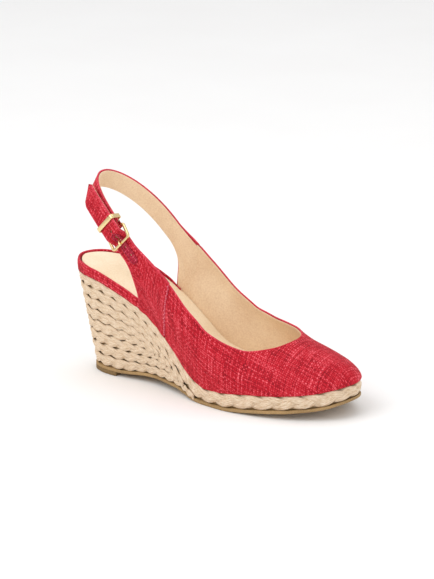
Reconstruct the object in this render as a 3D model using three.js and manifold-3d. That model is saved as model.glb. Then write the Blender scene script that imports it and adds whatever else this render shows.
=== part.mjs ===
// A right-foot slingback espadrille on a jute-wrapped wedge.
// Millimetres. +X runs from the heel to the toe, +Z up, -Y is the outer (lateral) side.
// While the pieces are made, x = 0 is the back of the heel seat and z = 0 the ground.
import * as THREE from "three";
import { mergeVertices } from "three/addons/utils/BufferGeometryUtils.js";
import Module from "manifold-3d";

const wasm = await Module();
wasm.setup();

// ---- Driving sizes ----------------------------------------------------------------------
const LENGTH = 236; // toe tip to heel back
const HEEL_WIDTH = 53; // jute edge across the heel seat
const BALL_WIDTH = 86; // jute edge across the ball
const HEEL_HEIGHT = 75.4; // ground to the top of the jute at the heel
const BAND_HEIGHT = 12.5; // ground to the top of the jute under the ball
const INSOLE_STACK = 6.4; // top of the jute to the top of the sock lining
const BACK_RISE = 1.7; // extra height of the cupped heel seat at its back

const GAP = 0.3; // between pieces that are glued or sewn together
const TIP_THICK = 3; // rubber heel tip
const TIP_LENGTH = 27;
const OUTSOLE_THICK = 2.2;
const BOTTOM_INSET = 7.5; // the heel's foot is this much smaller all round
const HEEL_RAKE = 7; // and its back leans this much further forward
const FORE_INSET = 1.1;

const ROW_COUNT = 8;
const ROW_DEPTH = 9.3;
const ROW_GAP = 0.6; // between rows, where the braids touch only at their crests
const ROW_ROUND = 1.2; // how far a row's outer edges are rounded back
const ROW_END_HEIGHT = 3; // a row is tucked away where it would be thinner
const TOP_ROW_HEIGHT = 11.6; // where the top braid becomes the forefoot band

const BOARD_THICK = 2.2;
const FOAM_THICK = 1.7;
const SOCK_THICK = 1;
const TOE_ROOM = 12; // the insole ends this far inside the toe, under the rounded vamp
const SHANK_THICK = 1.6;
const SHANK_WIDTH = 12;
const SHANK_START = 0.14; // shares of the length
const SHANK_END = 0.55;

const UPPER_INSET = 1; // the upper stands this far inside the jute edge
const UPPER_THICK = 1.3;
const LINING_THICK = 0.8;
const PUFF_THICK = 0.45; // toe stiffener between vamp and lining
const PUFF_START = 0.86;
const UPPER_BULGE = 3;
const THROAT = 0.781; // front of the foot opening, as a share of the length
const TOE_END = 0.992;
const SEAM_LATERAL = [0.384, 0.414]; // side seam at the jute and at the topline
const SEAM_MEDIAL = [0.335, 0.352];
const RAND_THICK = 2;
const RAND_INSET = 0.6;
const RAND_PROUD = 0.4; // above the sock lining

const PIVOT_AT = 0.294; // where the strap folds, as a share of the length
const PIVOT_RISE = 36.3; // and its height over the jute
const STRAP_TILT = 137.8; // direction of the strap, degrees from +X towards +Z
const STRAP_BACK = 16; // back of the strap, forward of the heel seat
const STRAP_ARCH = 2.3; // how far the strap arches above its straight line
const STRAP_TWIST = 16; // degrees that the strap turns upright round the heel
const STRAP_SQUARE = 2.6; // 2 would be an ellipse; more keeps the strap's ends straighter
const STRAP_HALF = 30.2; // half the distance between the strap's two ends
const SLING_WIDTH = 15.6;
const BILLET_WIDTH = 15;
const STRAP_THICK = 1.3;
const KNUCKLE_RADIUS = 11.4; // rounded strap end at the fold
const FOLD_BACK = 40; // degrees the strap folds down
const FOLD_FORWARD = 45; // degrees it folds forward

const HEEL_BAR_AT = 29.7; // along the strap, from the fold
const BUCKLE_SPAN = 11.8; // heel bar to front bar, centre to centre
const BAR_THICK = 1.8;
const BUCKLE_GAP = 0.9; // strap edge to the buckle's side bars
const PRONG_RADIUS = 0.65;
const HOLE_RADIUS = 1.1;
const HOLE_PITCH = 7.1;
const KEEPER_AT = 36.5;
const KEEPER_LENGTH = 3;
const KEEPER_THICK = 1;
const TAIL_AT = 64.6; // tip of the billet
const PATCH_WIDTH = 7;
const PATCH_THICK = 0.4;
const PATCH_START = 2;
const PATCH_END = 27;
const CHAPE_THICK = 0.7;
const CHAPE_LENGTH = 8;

// ---- Colours ----------------------------------------------------------------------------
const finish = (color, roughness, metalness = 0) => ({ color, roughness, metalness });
const TEXTILE = finish("#c5283c", 0.85);
const LINING = finish("#e3c7a6", 0.8);
const JUTE = finish("#dcc49c", 0.95);
const RUBBER = finish("#9b7d58", 0.8);
const CORK = finish("#b08a5e", 0.9);
const BOARD = finish("#8d7a62", 0.9);
const FOAM = finish("#e9dfc9", 0.95);
const STEEL = finish("#8f9297", 0.4, 1);
const GOLD = finish("#d9b878", 0.25, 1);

// ---- Small helpers ----------------------------------------------------------------------
const radians = THREE.MathUtils.degToRad;
const lerp = THREE.MathUtils.lerp;
const smooth = THREE.MathUtils.smoothstep;

// Smooth curve through [x, value] points that never overshoots them.
function curve(points, x) {
  const last = points.length - 1;
  if (x <= points[0][0]) return points[0][1];
  if (x >= points[last][0]) return points[last][1];
  const slope = (k) => (points[k + 1][1] - points[k][1]) / (points[k + 1][0] - points[k][0]);
  const tangent = (k) => {
    if (k === 0) return slope(0);
    if (k === last) return slope(last - 1);
    const product = slope(k - 1) * slope(k);
    return product <= 0 ? 0 : (2 * product) / (slope(k - 1) + slope(k));
  };
  const k = points.findIndex((point) => point[0] > x) - 1;
  const width = points[k + 1][0] - points[k][0];
  const t = (x - points[k][0]) / width;
  const rise = points[k + 1][1] - points[k][1];
  const start = tangent(k) * width;
  const end = tangent(k + 1) * width;
  return points[k][1] + t * start + t * t * (3 * rise - 2 * start - end) + t ** 3 * (start + end - 2 * rise);
}

function meshGeometry(points, faces) {
  const geometry = new THREE.BufferGeometry();
  const numbers = points.flatMap((p) => [p.x, p.y, p.z]);
  geometry.setAttribute("position", new THREE.Float32BufferAttribute(numbers, 3));
  geometry.setIndex(faces.flat());
  return geometry;
}

// Joins rings of points, all listed the same way round, into one closed body.
function loft(rings, closed = false) {
  const size = rings[0].length;
  const faces = [];
  const steps = closed ? rings.length : rings.length - 1;
  for (let i = 0; i < steps; i += 1) {
    const here = i * size;
    const next = ((i + 1) % rings.length) * size;
    for (let j = 0; j < size; j += 1) {
      const k = (j + 1) % size;
      faces.push([here + j, here + k, next + k], [here + j, next + k, next + j]);
    }
  }
  if (!closed) {
    const end = (rings.length - 1) * size;
    for (let j = 1; j < size - 1; j += 1) {
      faces.push([0, j + 1, j], [end, end + j, end + j + 1]);
    }
  }
  return outward(meshGeometry(rings.flat(), faces));
}

// Turns the faces over when they point in.
function outward(geometry) {
  const p = geometry.attributes.position;
  const index = geometry.index.array;
  const corners = [new THREE.Vector3(), new THREE.Vector3(), new THREE.Vector3()];
  let volume = 0;
  for (let i = 0; i < index.length; i += 3) {
    corners.forEach((corner, k) => corner.fromBufferAttribute(p, index[i + k]));
    volume += corners[0].dot(corners[1].clone().cross(corners[2]));
  }
  if (volume < 0) {
    for (let i = 0; i < index.length; i += 3) {
      [index[i + 1], index[i + 2]] = [index[i + 2], index[i + 1]];
    }
  }
  return geometry;
}

function solid(geometry) {
  const bare = geometry.clone();
  bare.deleteAttribute("normal");
  bare.deleteAttribute("uv");
  const merged = mergeVertices(outward(mergeVertices(bare, 1e-4)), 1e-4);
  return new wasm.Manifold(
    new wasm.Mesh({
      numProp: 3,
      vertProperties: Float32Array.from(merged.attributes.position.array),
      triVerts: Uint32Array.from(merged.index.array),
    }),
  );
}

function fromSolid(body) {
  const mesh = body.getMesh();
  const geometry = new THREE.BufferGeometry();
  geometry.setAttribute("position", new THREE.Float32BufferAttribute(mesh.vertProperties, 3));
  geometry.setIndex(Array.from(mesh.triVerts));
  return geometry;
}

const cut = (geometry, ...tools) =>
  fromSolid(tools.reduce((body, tool) => body.subtract(solid(tool)), solid(geometry)));
const join = (...pieces) => fromSolid(pieces.map(solid).reduce((body, piece) => body.add(piece)));

const shoe = new THREE.Group();
function add(name, geometry, look) {
  const mesh = new THREE.Mesh(geometry, new THREE.MeshStandardMaterial(look));
  mesh.name = name;
  shoe.add(mesh);
}

// ---- Outline and levels of the sole. s is a place along the length, 0 heel to 1 toe -------
// Squared half widths are interpolated, so that both ends come out round.
const OUTLINE = {
  lateral: [[0, 0], [0.042, 18.1], [0.093, 24], [0.17, 26.8], [0.3, 27.3], [0.424, 31.2], [0.551, 40],
    [0.657, 43.6], [0.741, 42.6], [0.826, 38.4], [0.898, 31], [0.953, 21.6], [1, 0]],
  medial: [[0, 0], [0.042, 18.1], [0.093, 23.6], [0.17, 25.9], [0.3, 24.6], [0.424, 25.4], [0.551, 34.7],
    [0.657, 41.5], [0.741, 42.6], [0.826, 38.9], [0.898, 31.6], [0.953, 22.1], [1, 0]],
};
const OUTLINE_HEEL = 26.35; // mean half widths of the outline as drawn
const OUTLINE_BALL = 42.6;
const fullHalf = (s) => lerp(HEEL_WIDTH / 2, BALL_WIDTH / 2, smooth(s, 0.25, 0.62));
const drawnHalf = (s) => lerp(OUTLINE_HEEL, OUTLINE_BALL, smooth(s, 0.25, 0.62));

function halfWidth(side, s) {
  const squares = OUTLINE[side].map(([at, half]) => [at, half * half]);
  return (Math.sqrt(curve(squares, s)) * fullHalf(s)) / drawnHalf(s);
}

// Share of the heel height that the wedge still has, and how the toe springs up.
const WEDGE = [[0, 1], [0.106, 0.978], [0.212, 0.858], [0.318, 0.65], [0.403, 0.382], [0.487, 0.102],
  [0.551, 0]];
const TOE_RISE = [[0.551, 0], [0.614, 0.5], [0.7, 2.8], [0.805, 4.9], [0.911, 7.8], [1, 12.1]];
const UNDERSIDE = [[0, TIP_THICK], [0.18, TIP_THICK], [0.318, 5.2], [0.424, 4.3], [0.5, 0.9], [0.54, 0],
  [0.63, 0], [0.68, 0.9], [0.763, 2.9], [0.847, 4.9], [0.932, 7.9], [1, 13]];
const underside = (s) => curve(UNDERSIDE, s);
const juteTop = (s) => BAND_HEIGHT + (HEEL_HEIGHT - BAND_HEIGHT) * curve(WEDGE, s) + curve(TOE_RISE, s);
const footTop = (s) => juteTop(s) + INSOLE_STACK + BACK_RISE * (1 - smooth(s, 0, 0.12));

// Places along the outline, closer together at the round ends.
const STEPS = 28;
const places = Array.from({ length: STEPS + 1 }, (_, i) =>
  lerp(i / STEPS, (1 - Math.cos((Math.PI * i) / STEPS)) / 2, 0.6));
const signOf = { lateral: -1, medial: 1 };

// A point of the outline, moved inwards.
function planPoint(side, s, inset) {
  const x = inset + s * (LENGTH - 2 * inset);
  const y = signOf[side] * halfWidth(side, s) * (1 - inset / fullHalf(s));
  return new THREE.Vector3(x, y, 0);
}

const bottomInset = (s) => lerp(BOTTOM_INSET, FORE_INSET, smooth(s, 0.25, 0.51));
const rake = (s) => HEEL_RAKE * Math.max(0, 1 - s / 0.34) ** 2;

// A point of the sole's side wall: share 0 is its foot, 1 its top edge; depth is measured inwards.
// Every level is a curve over the length, so that pieces laid on each other meet wherever they end.
function wallPoint(side, s, share, depth) {
  const top = planPoint(side, s, depth);
  top.z = juteTop(top.x / LENGTH);
  const foot = planPoint(side, s, bottomInset(s) + depth);
  foot.x += rake(s);
  foot.z = underside(foot.x / LENGTH) + OUTSOLE_THICK + GAP;
  return foot.lerp(top, share);
}

// A plate across the sole between two levels. All plates bend at the same places, so that they
// stack without touching. Their ends are closed by a narrow straight edge.
const END_HALF = 1.5;
function plate(from, to, half, low, high) {
  const inner = places.filter((s) => s > from + 0.003 && s < to - 0.003);
  const corner = (side, s, level) =>
    new THREE.Vector3(s * LENGTH, signOf[side] * Math.max(half(side, s), END_HALF), level(s));
  const rings = [from, ...inner, to].map((s) => [
    corner("lateral", s, low),
    corner("medial", s, low),
    corner("medial", s, high),
    corner("lateral", s, high),
  ]);
  return loft(rings);
}

// Half width at a place of the outline moved inwards.
function insetHalf(side, s, inset) {
  const local = (s * LENGTH - inset) / (LENGTH - 2 * inset);
  return halfWidth(side, THREE.MathUtils.clamp(local, 0, 1)) * (1 - inset / fullHalf(s));
}

// ---- Rubber: heel tip and outsole --------------------------------------------------------
const soleStart = (BOTTOM_INSET + HEEL_RAKE + GAP) / LENGTH;
const soleEnd = 1 - (FORE_INSET + GAP) / LENGTH;
// The foot of the side wall is found by halving, because its rake changes along the length.
function soleHalf(side, s) {
  let low = 0;
  let high = 1;
  for (let step = 0; step < 30; step += 1) {
    const middle = (low + high) / 2;
    const x = planPoint(side, middle, bottomInset(middle) + GAP).x + rake(middle);
    if (x < s * LENGTH) low = middle;
    else high = middle;
  }
  return Math.abs(planPoint(side, low, bottomInset(low) + GAP).y);
}
const outsoleTop = (s) => underside(s) + OUTSOLE_THICK;
add("outsole", plate(soleStart, soleEnd, soleHalf, underside, outsoleTop), RUBBER);

// The tip is the back of the same outline, cut straight across.
const TIP_END = soleStart + TIP_LENGTH / LENGTH;
add("heel_tip", plate(soleStart, TIP_END, soleHalf, () => 0, () => TIP_THICK - GAP), RUBBER);

// ---- Wedge core with the steel shank let into its top ------------------------------------
const CORE_INSET = ROW_DEPTH + 3 * GAP;
const boardLow = (s) => footTop(s) - SOCK_THICK - FOAM_THICK - BOARD_THICK - 2 * GAP;
const coreTop = (s) => boardLow(s) - 1.5 * GAP;
const coreLow = (s) => outsoleTop(s) + 1.5 * GAP;
const CORE_END_HALF = 0.5; // its ends are narrow enough to stand clear of the braids' round
function wedgeCore() {
  const corner = (side, s, share) => {
    const point = wallPoint(side, s, share, CORE_INSET);
    point.y = signOf[side] * Math.max(Math.abs(point.y), CORE_END_HALF);
    return point.setZ(share === 0 ? coreLow(point.x / LENGTH) : coreTop(point.x / LENGTH));
  };
  const ring = (s) => [
    corner("lateral", s, 0),
    corner("medial", s, 0),
    corner("medial", s, 1),
    corner("lateral", s, 1),
  ];
  return loft(places.map(ring));
}

// A strip down the middle of the sole, below the insole board.
function middleStrip(start, end, half, low, high) {
  const inner = places.filter((s) => s > start + 0.003 && s < end - 0.003);
  const rings = [start, ...inner, end].map((s) => {
    const corner = (y, z) => new THREE.Vector3(s * LENGTH, y, z);
    return [corner(-half, low(s)), corner(half, low(s)), corner(half, high(s)), corner(-half, high(s))];
  });
  return loft(rings);
}

const ROOM = GAP / LENGTH;
const shankHigh = (s) => coreTop(s) - GAP / 2;
const shankLow = (s) => shankHigh(s) - SHANK_THICK;
const groove = middleStrip(
  SHANK_START - ROOM,
  SHANK_END + ROOM,
  SHANK_WIDTH / 2 + GAP,
  (s) => shankLow(s) - GAP,
  (s) => shankHigh(s) + 2,
);
add("wedge_core", cut(wedgeCore(), groove), CORK);
add("shank", middleStrip(SHANK_START, SHANK_END, SHANK_WIDTH / 2, shankLow, shankHigh), STEEL);

// ---- Braided jute rows -------------------------------------------------------------------
// The top row runs round the whole sole. The others wrap the heel, and pinch out one after
// another in the arch, from the middle of the wall outwards.
const ROW_ENDS = [0.525, 0.475, 0.425, 0.375, 0.395, 0.445, 0.495];
const ROW_FADE = 0.15; // length over which a row narrows before it is tucked away

function rowLevels(s) {
  const wall = juteTop(s) - underside(s) - OUTSOLE_THICK - GAP;
  const topRow = Math.min(wall, lerp(wall / ROW_COUNT, TOP_ROW_HEIGHT, smooth(s, 0.2, 0.45)));
  const keep = ROW_ENDS.map((end) => smooth(end - s, 0, ROW_FADE));
  const total = keep.reduce((sum, value) => sum + value, 0);
  const levels = [0];
  keep.forEach((value) => levels.push(levels.at(-1) + (total > 0 ? ((wall - topRow) * value) / total : 0)));
  levels.push(wall);
  return levels.map((level) => level / wall);
}

function rowHeight(row, s) {
  const levels = rowLevels(s);
  return (levels[row + 1] - levels[row]) * (juteTop(s) - underside(s) - OUTSOLE_THICK - GAP);
}

function rowEnd(row) {
  let s = ROW_ENDS[row];
  while (rowHeight(row, s) < ROW_END_HEIGHT) s -= 0.002;
  return s;
}

function rowRing(row, side, s) {
  const levels = rowLevels(s);
  const wall = juteTop(s) - underside(s) - OUTSOLE_THICK - GAP;
  const low = levels[row] + ROW_GAP / 2 / wall;
  const high = levels[row + 1] - ROW_GAP / 2 / wall;
  const soft = (high - low) * 0.28;
  const at = (share, depth) => wallPoint(side, s, share, depth);
  return [
    at(low, ROW_ROUND),
    at(low + soft, 0),
    at(high - soft, 0),
    at(high, ROW_ROUND),
    at(high, ROW_DEPTH),
    at(low, ROW_DEPTH),
  ];
}

const rowTips = ROW_ENDS.map((_, row) => rowEnd(row));
const rowPlaces = [...places.filter((s) => rowTips.every((tip) => Math.abs(tip - s) > 0.004)), ...rowTips];
rowPlaces.sort((a, b) => a - b);
for (let row = 0; row < ROW_COUNT - 1; row += 1) {
  const way = rowPlaces.filter((s) => s <= rowTips[row]);
  const rings = [
    ...[...way].reverse().map((s) => rowRing(row, "lateral", s)),
    ...way.slice(1).map((s) => rowRing(row, "medial", s)),
  ];
  add(`jute_row_${row + 1}`, loft(rings), JUTE);
}
const weltRings = [
  ...[...rowPlaces].reverse().map((s) => rowRing(ROW_COUNT - 1, "lateral", s)),
  ...rowPlaces.slice(1, -1).map((s) => rowRing(ROW_COUNT - 1, "medial", s)),
];
add("jute_welt", loft(weltRings, true), JUTE);

// ---- Insole board, foam, sock lining and the rand round the heel seat ---------------------
const RAND_END = 0.279;
const upperInside = UPPER_INSET + UPPER_THICK + PUFF_THICK + LINING_THICK + 3 * GAP;
const heelInset = RAND_INSET + RAND_THICK + 4.5 * GAP;
const sideInset = (s) => lerp(heelInset, upperInside + 4 * GAP, smooth(s, 0.24, 0.3));
const boardInset = (s) => lerp(sideInset(s), TOE_ROOM, smooth(s, 0.7, 0.95));
const boardHigh = (s) => boardLow(s) + BOARD_THICK;
const foamLow = (s) => boardHigh(s) + GAP;
const foamHigh = (s) => foamLow(s) + FOAM_THICK;
const insoleStart = heelInset / LENGTH;
const insoleEnd = 1 - TOE_ROOM / LENGTH;
const insoleHalf = (side, s) => insetHalf(side, s, boardInset(s));
const insolePlate = (low, high) => plate(insoleStart, insoleEnd, insoleHalf, low, high);
add("insole_board", insolePlate(boardLow, boardHigh), BOARD);
add("insole_foam", insolePlate(foamLow, foamHigh), FOAM);
add("sock_lining", insolePlate((s) => foamHigh(s) + GAP, footTop), LINING);

function randRing(side, s) {
  const inside = RAND_INSET + RAND_THICK;
  const low = (level) => juteTop(level) + GAP;
  const high = (level) => footTop(level) + RAND_PROUD;
  const at = (depth, height, drop = 0) => {
    const point = planPoint(side, s, depth);
    return point.setZ(height(point.x / LENGTH) - drop);
  };
  return [
    at(RAND_INSET, low),
    at(RAND_INSET, high, 1),
    at(RAND_INSET + 0.6, high),
    at(inside, high),
    at(inside, low),
  ];
}
const randWay = [...places.filter((s) => s < RAND_END - 0.012), RAND_END];
add("rand", loft([
  ...[...randWay].reverse().map((s) => randRing("lateral", s)),
  ...randWay.slice(1).map((s) => randRing("medial", s)),
]), TEXTILE);

// ---- Upper: one surface for vamp, quarters and their linings -------------------------------
// Height of the topline over the jute and half the width of the opening there.
const TOP_RISE = {
  lateral: [[0.2, 62], [0.254, 56], [0.318, 50.4], [0.381, 50], [0.445, 50.3], [0.508, 48], [0.572, 41],
    [0.636, 34.5], [0.7, 29.4], [0.75, 29.8], [THROAT, 31.4]],
  medial: [[0.2, 60], [0.254, 53.6], [0.318, 48.9], [0.381, 47.9], [0.445, 46.9], [0.508, 44.1], [0.572, 39.4],
    [0.636, 34.8], [0.7, 32.2], [0.75, 31.6], [THROAT, 31.4]],
};
const TOP_HALF = {
  lateral: [[0.2, 30.2], [0.254, 30.4], [0.318, 31.2], [0.381, 32.2], [0.445, 34.3], [0.508, 36.4],
    [0.572, 37.4], [0.636, 36.2], [0.7, 30.8], [0.754, 18.5], [THROAT, 0]],
  medial: [[0.2, 29.4], [0.254, 29.6], [0.318, 30.2], [0.381, 31.2], [0.445, 33.3], [0.508, 35.4],
    [0.572, 36.4], [0.636, 35.2], [0.7, 29.8], [0.754, 18], [THROAT, 0]],
};
const RIDGE_RISE = [[THROAT, 31.4], [0.826, 27], [0.873, 22.6], [0.919, 18], [0.949, 13.5], [0.975, 7.9],
  [TOE_END, 2]];

const seat = (s) => juteTop(s) + 2.7 * GAP;
function upperPoint(side, s, share) {
  const edge = halfWidth(side, s) * (1 - UPPER_INSET / fullHalf(s));
  const low = seat(s);
  const open = s < THROAT;
  const high = juteTop(s) + (open ? curve(TOP_RISE[side], s) : curve(RIDGE_RISE, s));
  const squares = TOP_HALF[side].map(([at, width]) => [at, width * width]);
  const half = open ? Math.sqrt(curve(squares, s)) : 0;
  const lean = radians(lerp(78, 0, smooth(s, 0.5, THROAT)));
  const reach = 0.42 * Math.hypot(edge - half, high - low);
  const side4 = [
    [edge, low],
    [edge + UPPER_BULGE * smooth(1 - s, 0, 0.3), low + 0.42 * (high - low)],
    [half + Math.cos(lean) * reach, high - Math.sin(lean) * reach],
    [half, high],
  ];
  const weight = [(1 - share) ** 3, 3 * share * (1 - share) ** 2, 3 * share ** 2 * (1 - share), share ** 3];
  const blend = (axis) => side4.reduce((sum, point, k) => sum + weight[k] * point[axis], 0);
  return new THREE.Vector3(s * LENGTH, signOf[side] * blend(0), blend(1));
}

// The same surface, moved inwards along its normal.
function upperInset(side, s, share, depth) {
  const ds = 0.002;
  const dv = 0.02;
  const before = Math.max(s - ds, 0.2);
  const after = Math.min(s + ds, s < THROAT ? THROAT - 1e-6 : 0.998);
  const along = upperPoint(side, after, share).sub(upperPoint(side, before, share));
  const up = upperPoint(side, s, Math.min(share + dv, 1)).sub(upperPoint(side, s, Math.max(share - dv, 0)));
  const normal = along.cross(up).normalize().multiplyScalar(-signOf[side]);
  if (share === 1 && s >= THROAT) normal.setY(0).normalize();
  const point = upperPoint(side, s, share).addScaledVector(normal, -depth);
  const floor = seat(point.x / LENGTH) + share;
  point.z = share === 0 ? floor : Math.max(point.z, floor);
  return point;
}

// A closed shell from a grid of (s, share) places.
function shell(side, grid, outer, inner) {
  const rows = grid.length;
  const columns = grid[0].length;
  const layer = (depth) => grid.flat().map(([s, share]) => upperInset(side, s, share, depth));
  const points = [...layer(outer), ...layer(inner)];
  const id = (i, j, under) => under * rows * columns + i * columns + j;
  const faces = [];
  const quad = (a, b, c, d) => faces.push([a, b, c], [a, c, d]);
  for (let i = 0; i < rows - 1; i += 1) {
    for (let j = 0; j < columns - 1; j += 1) {
      quad(id(i, j, 0), id(i, j + 1, 0), id(i + 1, j + 1, 0), id(i + 1, j, 0));
      quad(id(i, j, 1), id(i + 1, j, 1), id(i + 1, j + 1, 1), id(i, j + 1, 1));
    }
  }
  const edge = [];
  for (let j = 0; j < columns - 1; j += 1) edge.push([0, j]);
  for (let i = 0; i < rows - 1; i += 1) edge.push([i, columns - 1]);
  for (let j = columns - 1; j > 0; j -= 1) edge.push([rows - 1, j]);
  for (let i = rows - 1; i > 0; i -= 1) edge.push([i, 0]);
  edge.forEach(([i, j], k) => {
    const [m, n] = edge[(k + 1) % edge.length];
    quad(id(m, n, 0), id(i, j, 0), id(i, j, 1), id(m, n, 1));
  });
  return outward(meshGeometry(points, faces));
}

// The vamp covers both sides in front of the side seams and closes over the toes.
const VAMP_SHARES = 6;
function vampShell(start, outer, inner) {
  const sides = ["lateral", "medial"];
  const backSteps = start < THROAT ? 9 : 0;
  const toeSteps = 8;
  const points = [];
  const known = new Map();
  const place = (side, i, share) => {
    if (i >= backSteps) {
      const from = Math.max(start, THROAT);
      const t = (i - backSteps) / toeSteps;
      return lerp(from, TOE_END - outer / LENGTH, Math.sin((t * Math.PI) / 2));
    }
    const seam = side === "lateral" ? SEAM_LATERAL : SEAM_MEDIAL;
    return lerp(lerp(seam[0], seam[1], share) + ROOM / 2, THROAT, i / backSteps);
  };
  const id = (side, i, j, depth) => {
    const ridge = j === VAMP_SHARES && i >= backSteps;
    const key = `${ridge ? "ridge" : side} ${i} ${j} ${depth}`;
    if (!known.has(key)) {
      const share = j / VAMP_SHARES;
      const point = upperInset(side, place(side, i, share), share, depth);
      if (ridge) point.y = 0;
      known.set(key, points.push(point) - 1);
    }
    return known.get(key);
  };
  const faces = [];
  const last = backSteps + toeSteps;
  const top = VAMP_SHARES;
  for (const side of sides) {
    // Corners are [i, j, depth] places of the grid.
    const quad = (...corners) => {
      const [a, b, c, d] = corners.map(([i, j, depth]) => id(side, i, j, depth));
      faces.push(side === "lateral" ? [a, b, c] : [a, c, b], side === "lateral" ? [a, c, d] : [a, d, c]);
    };
    for (let i = 0; i < last; i += 1) {
      const n = i + 1;
      for (let j = 0; j < VAMP_SHARES; j += 1) {
        quad([i, j, outer], [n, j, outer], [n, j + 1, outer], [i, j + 1, outer]);
        quad([i, j, inner], [i, j + 1, inner], [n, j + 1, inner], [n, j, inner]);
      }
      quad([i, 0, inner], [n, 0, inner], [n, 0, outer], [i, 0, outer]);
      if (i < backSteps) quad([i, top, outer], [n, top, outer], [n, top, inner], [i, top, inner]);
    }
    for (let j = 0; j < VAMP_SHARES; j += 1) {
      quad([0, j, inner], [0, j, outer], [0, j + 1, outer], [0, j + 1, inner]);
      quad([last, j, outer], [last, j, inner], [last, j + 1, inner], [last, j + 1, outer]);
    }
  }
  return outward(meshGeometry(points, faces));
}

const puffOuter = UPPER_THICK + GAP;
const vampLiningOuter = puffOuter + PUFF_THICK + GAP;
add("vamp", vampShell(0, 0, UPPER_THICK), TEXTILE);
add("toe_puff", vampShell(PUFF_START, puffOuter, puffOuter + PUFF_THICK), LINING);
add("vamp_lining", vampShell(0, vampLiningOuter, vampLiningOuter + LINING_THICK), LINING);

// ---- The fold: a round knuckle on the strap turns in a round cut in each quarter ----------
const pivot = new THREE.Vector2(PIVOT_AT * LENGTH, juteTop(PIVOT_AT) + PIVOT_RISE);
const turn = (degrees) => new THREE.Vector2(Math.cos(radians(degrees)), Math.sin(radians(degrees)));

// Everything the strap sweeps between its two limits, as a tool right across the shoe.
function foldTool() {
  const radius = KNUCKLE_RADIUS + GAP;
  const far = 90;
  const forward = STRAP_TILT - FOLD_FORWARD;
  const back = STRAP_TILT + FOLD_BACK;
  const corner = (angle, along) =>
    pivot.clone().addScaledVector(turn(angle), radius).addScaledVector(turn(along), far);
  const outline = [corner(forward - 90, forward), corner(back + 90, back)];
  const steps = 14;
  const sweep = forward - 90 - (back + 90 - 360);
  for (let i = 0; i <= steps; i += 1) {
    const angle = back + 90 - 360 + (sweep * i) / steps;
    outline.push(pivot.clone().addScaledVector(turn(angle), radius));
  }
  const shape = new THREE.Shape(outline);
  const tool = new THREE.ExtrudeGeometry(shape, { depth: 2 * BALL_WIDTH, bevelEnabled: false });
  return tool.rotateX(Math.PI / 2).translate(0, BALL_WIDTH, 0);
}

// Rear edge of the quarter: height share up the side, then the place along the length.
const REAR_EDGE = [[0, 0.2865], [0.17, 0.2865], [0.26, 0.281], [0.42, 0.267], [0.58, 0.248], [1, 0.21]];
const QUARTER_STEPS = 4;
const QUARTER_SHARES = 7;
function quarter(side, outer, inner) {
  const seam = side === "lateral" ? SEAM_LATERAL : SEAM_MEDIAL;
  const grid = [];
  for (let i = 0; i <= QUARTER_STEPS; i += 1) {
    const row = [];
    for (let j = 0; j <= QUARTER_SHARES; j += 1) {
      const share = j / QUARTER_SHARES;
      const front = lerp(seam[0], seam[1], share) - ROOM / 2;
      row.push([lerp(curve(REAR_EDGE, share), front, i / QUARTER_STEPS), share]);
    }
    grid.push(row);
  }
  return cut(shell(side, grid, outer, inner), foldTool());
}
const quarterLiningOuter = UPPER_THICK + GAP;
for (const side of ["lateral", "medial"]) {
  add(`quarter_${side}`, quarter(side, 0, UPPER_THICK), TEXTILE);
  add(`quarter_lining_${side}`, quarter(side, quarterLiningOuter, quarterLiningOuter + LINING_THICK), LINING);
}

// ---- Sling strap, billet and buckle --------------------------------------------------------
// The strap's centre line is half a full ellipse, with straight starts, in a plane that leans back.
const lean = turn(STRAP_TILT);
const REACH = (pivot.x - STRAP_BACK) / -lean.x;
function strapPoint(angle) {
  const along = REACH * Math.sin(angle);
  const lift = STRAP_ARCH * Math.sin((Math.PI * along) / REACH);
  const half = STRAP_HALF * Math.sqrt(Math.max(0, 1 - Math.sin(angle) ** STRAP_SQUARE));
  return new THREE.Vector3(
    pivot.x + lean.x * along + lean.y * lift,
    -Math.sign(Math.cos(angle)) * half,
    pivot.y + lean.y * along - lean.x * lift,
  );
}

// Centre, direction, width direction and outward direction of the strap at an angle round the heel.
function strapFrame(angle) {
  const step = 0.01;
  const centre = strapPoint(angle);
  const along = strapPoint(angle + step).sub(strapPoint(angle - step)).normalize();
  const upright = turn(STRAP_TILT - 90 + STRAP_TWIST * Math.sin(angle) ** 2);
  const across = new THREE.Vector3(upright.x, 0, upright.y);
  across.addScaledVector(along, -across.dot(along)).normalize();
  const out = new THREE.Vector3().crossVectors(across, along).normalize();
  return { centre, along, across, out };
}
const angleAt = (along) => Math.asin(along / REACH);

function strapCorner(frame, across, out) {
  return frame.centre.clone().addScaledVector(frame.across, across).addScaledVector(frame.out, out);
}

// A flat band along the strap between two angles. lift raises it off the strap's own line.
function band(from, to, steps, width, low, high, lift = () => 0) {
  const rings = [];
  for (let i = 0; i <= steps; i += 1) {
    const angle = lerp(from, to, i / steps);
    const frame = strapFrame(angle);
    const half = width(angle) / 2;
    const raise = lift(REACH * Math.sin(angle));
    rings.push([
      strapCorner(frame, -half, low + raise), strapCorner(frame, half, low + raise),
      strapCorner(frame, half, high + raise), strapCorner(frame, -half, high + raise),
    ]);
  }
  return loft(rings);
}

// The round end of a strap at the fold, flat against the foot's side.
function knuckle(side, low, high) {
  const disc = new THREE.CylinderGeometry(KNUCKLE_RADIUS, KNUCKLE_RADIUS, high - low, 32);
  disc.translate(pivot.x, signOf[side] * (STRAP_HALF + (low + high) / 2), pivot.y);
  return disc;
}

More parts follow.
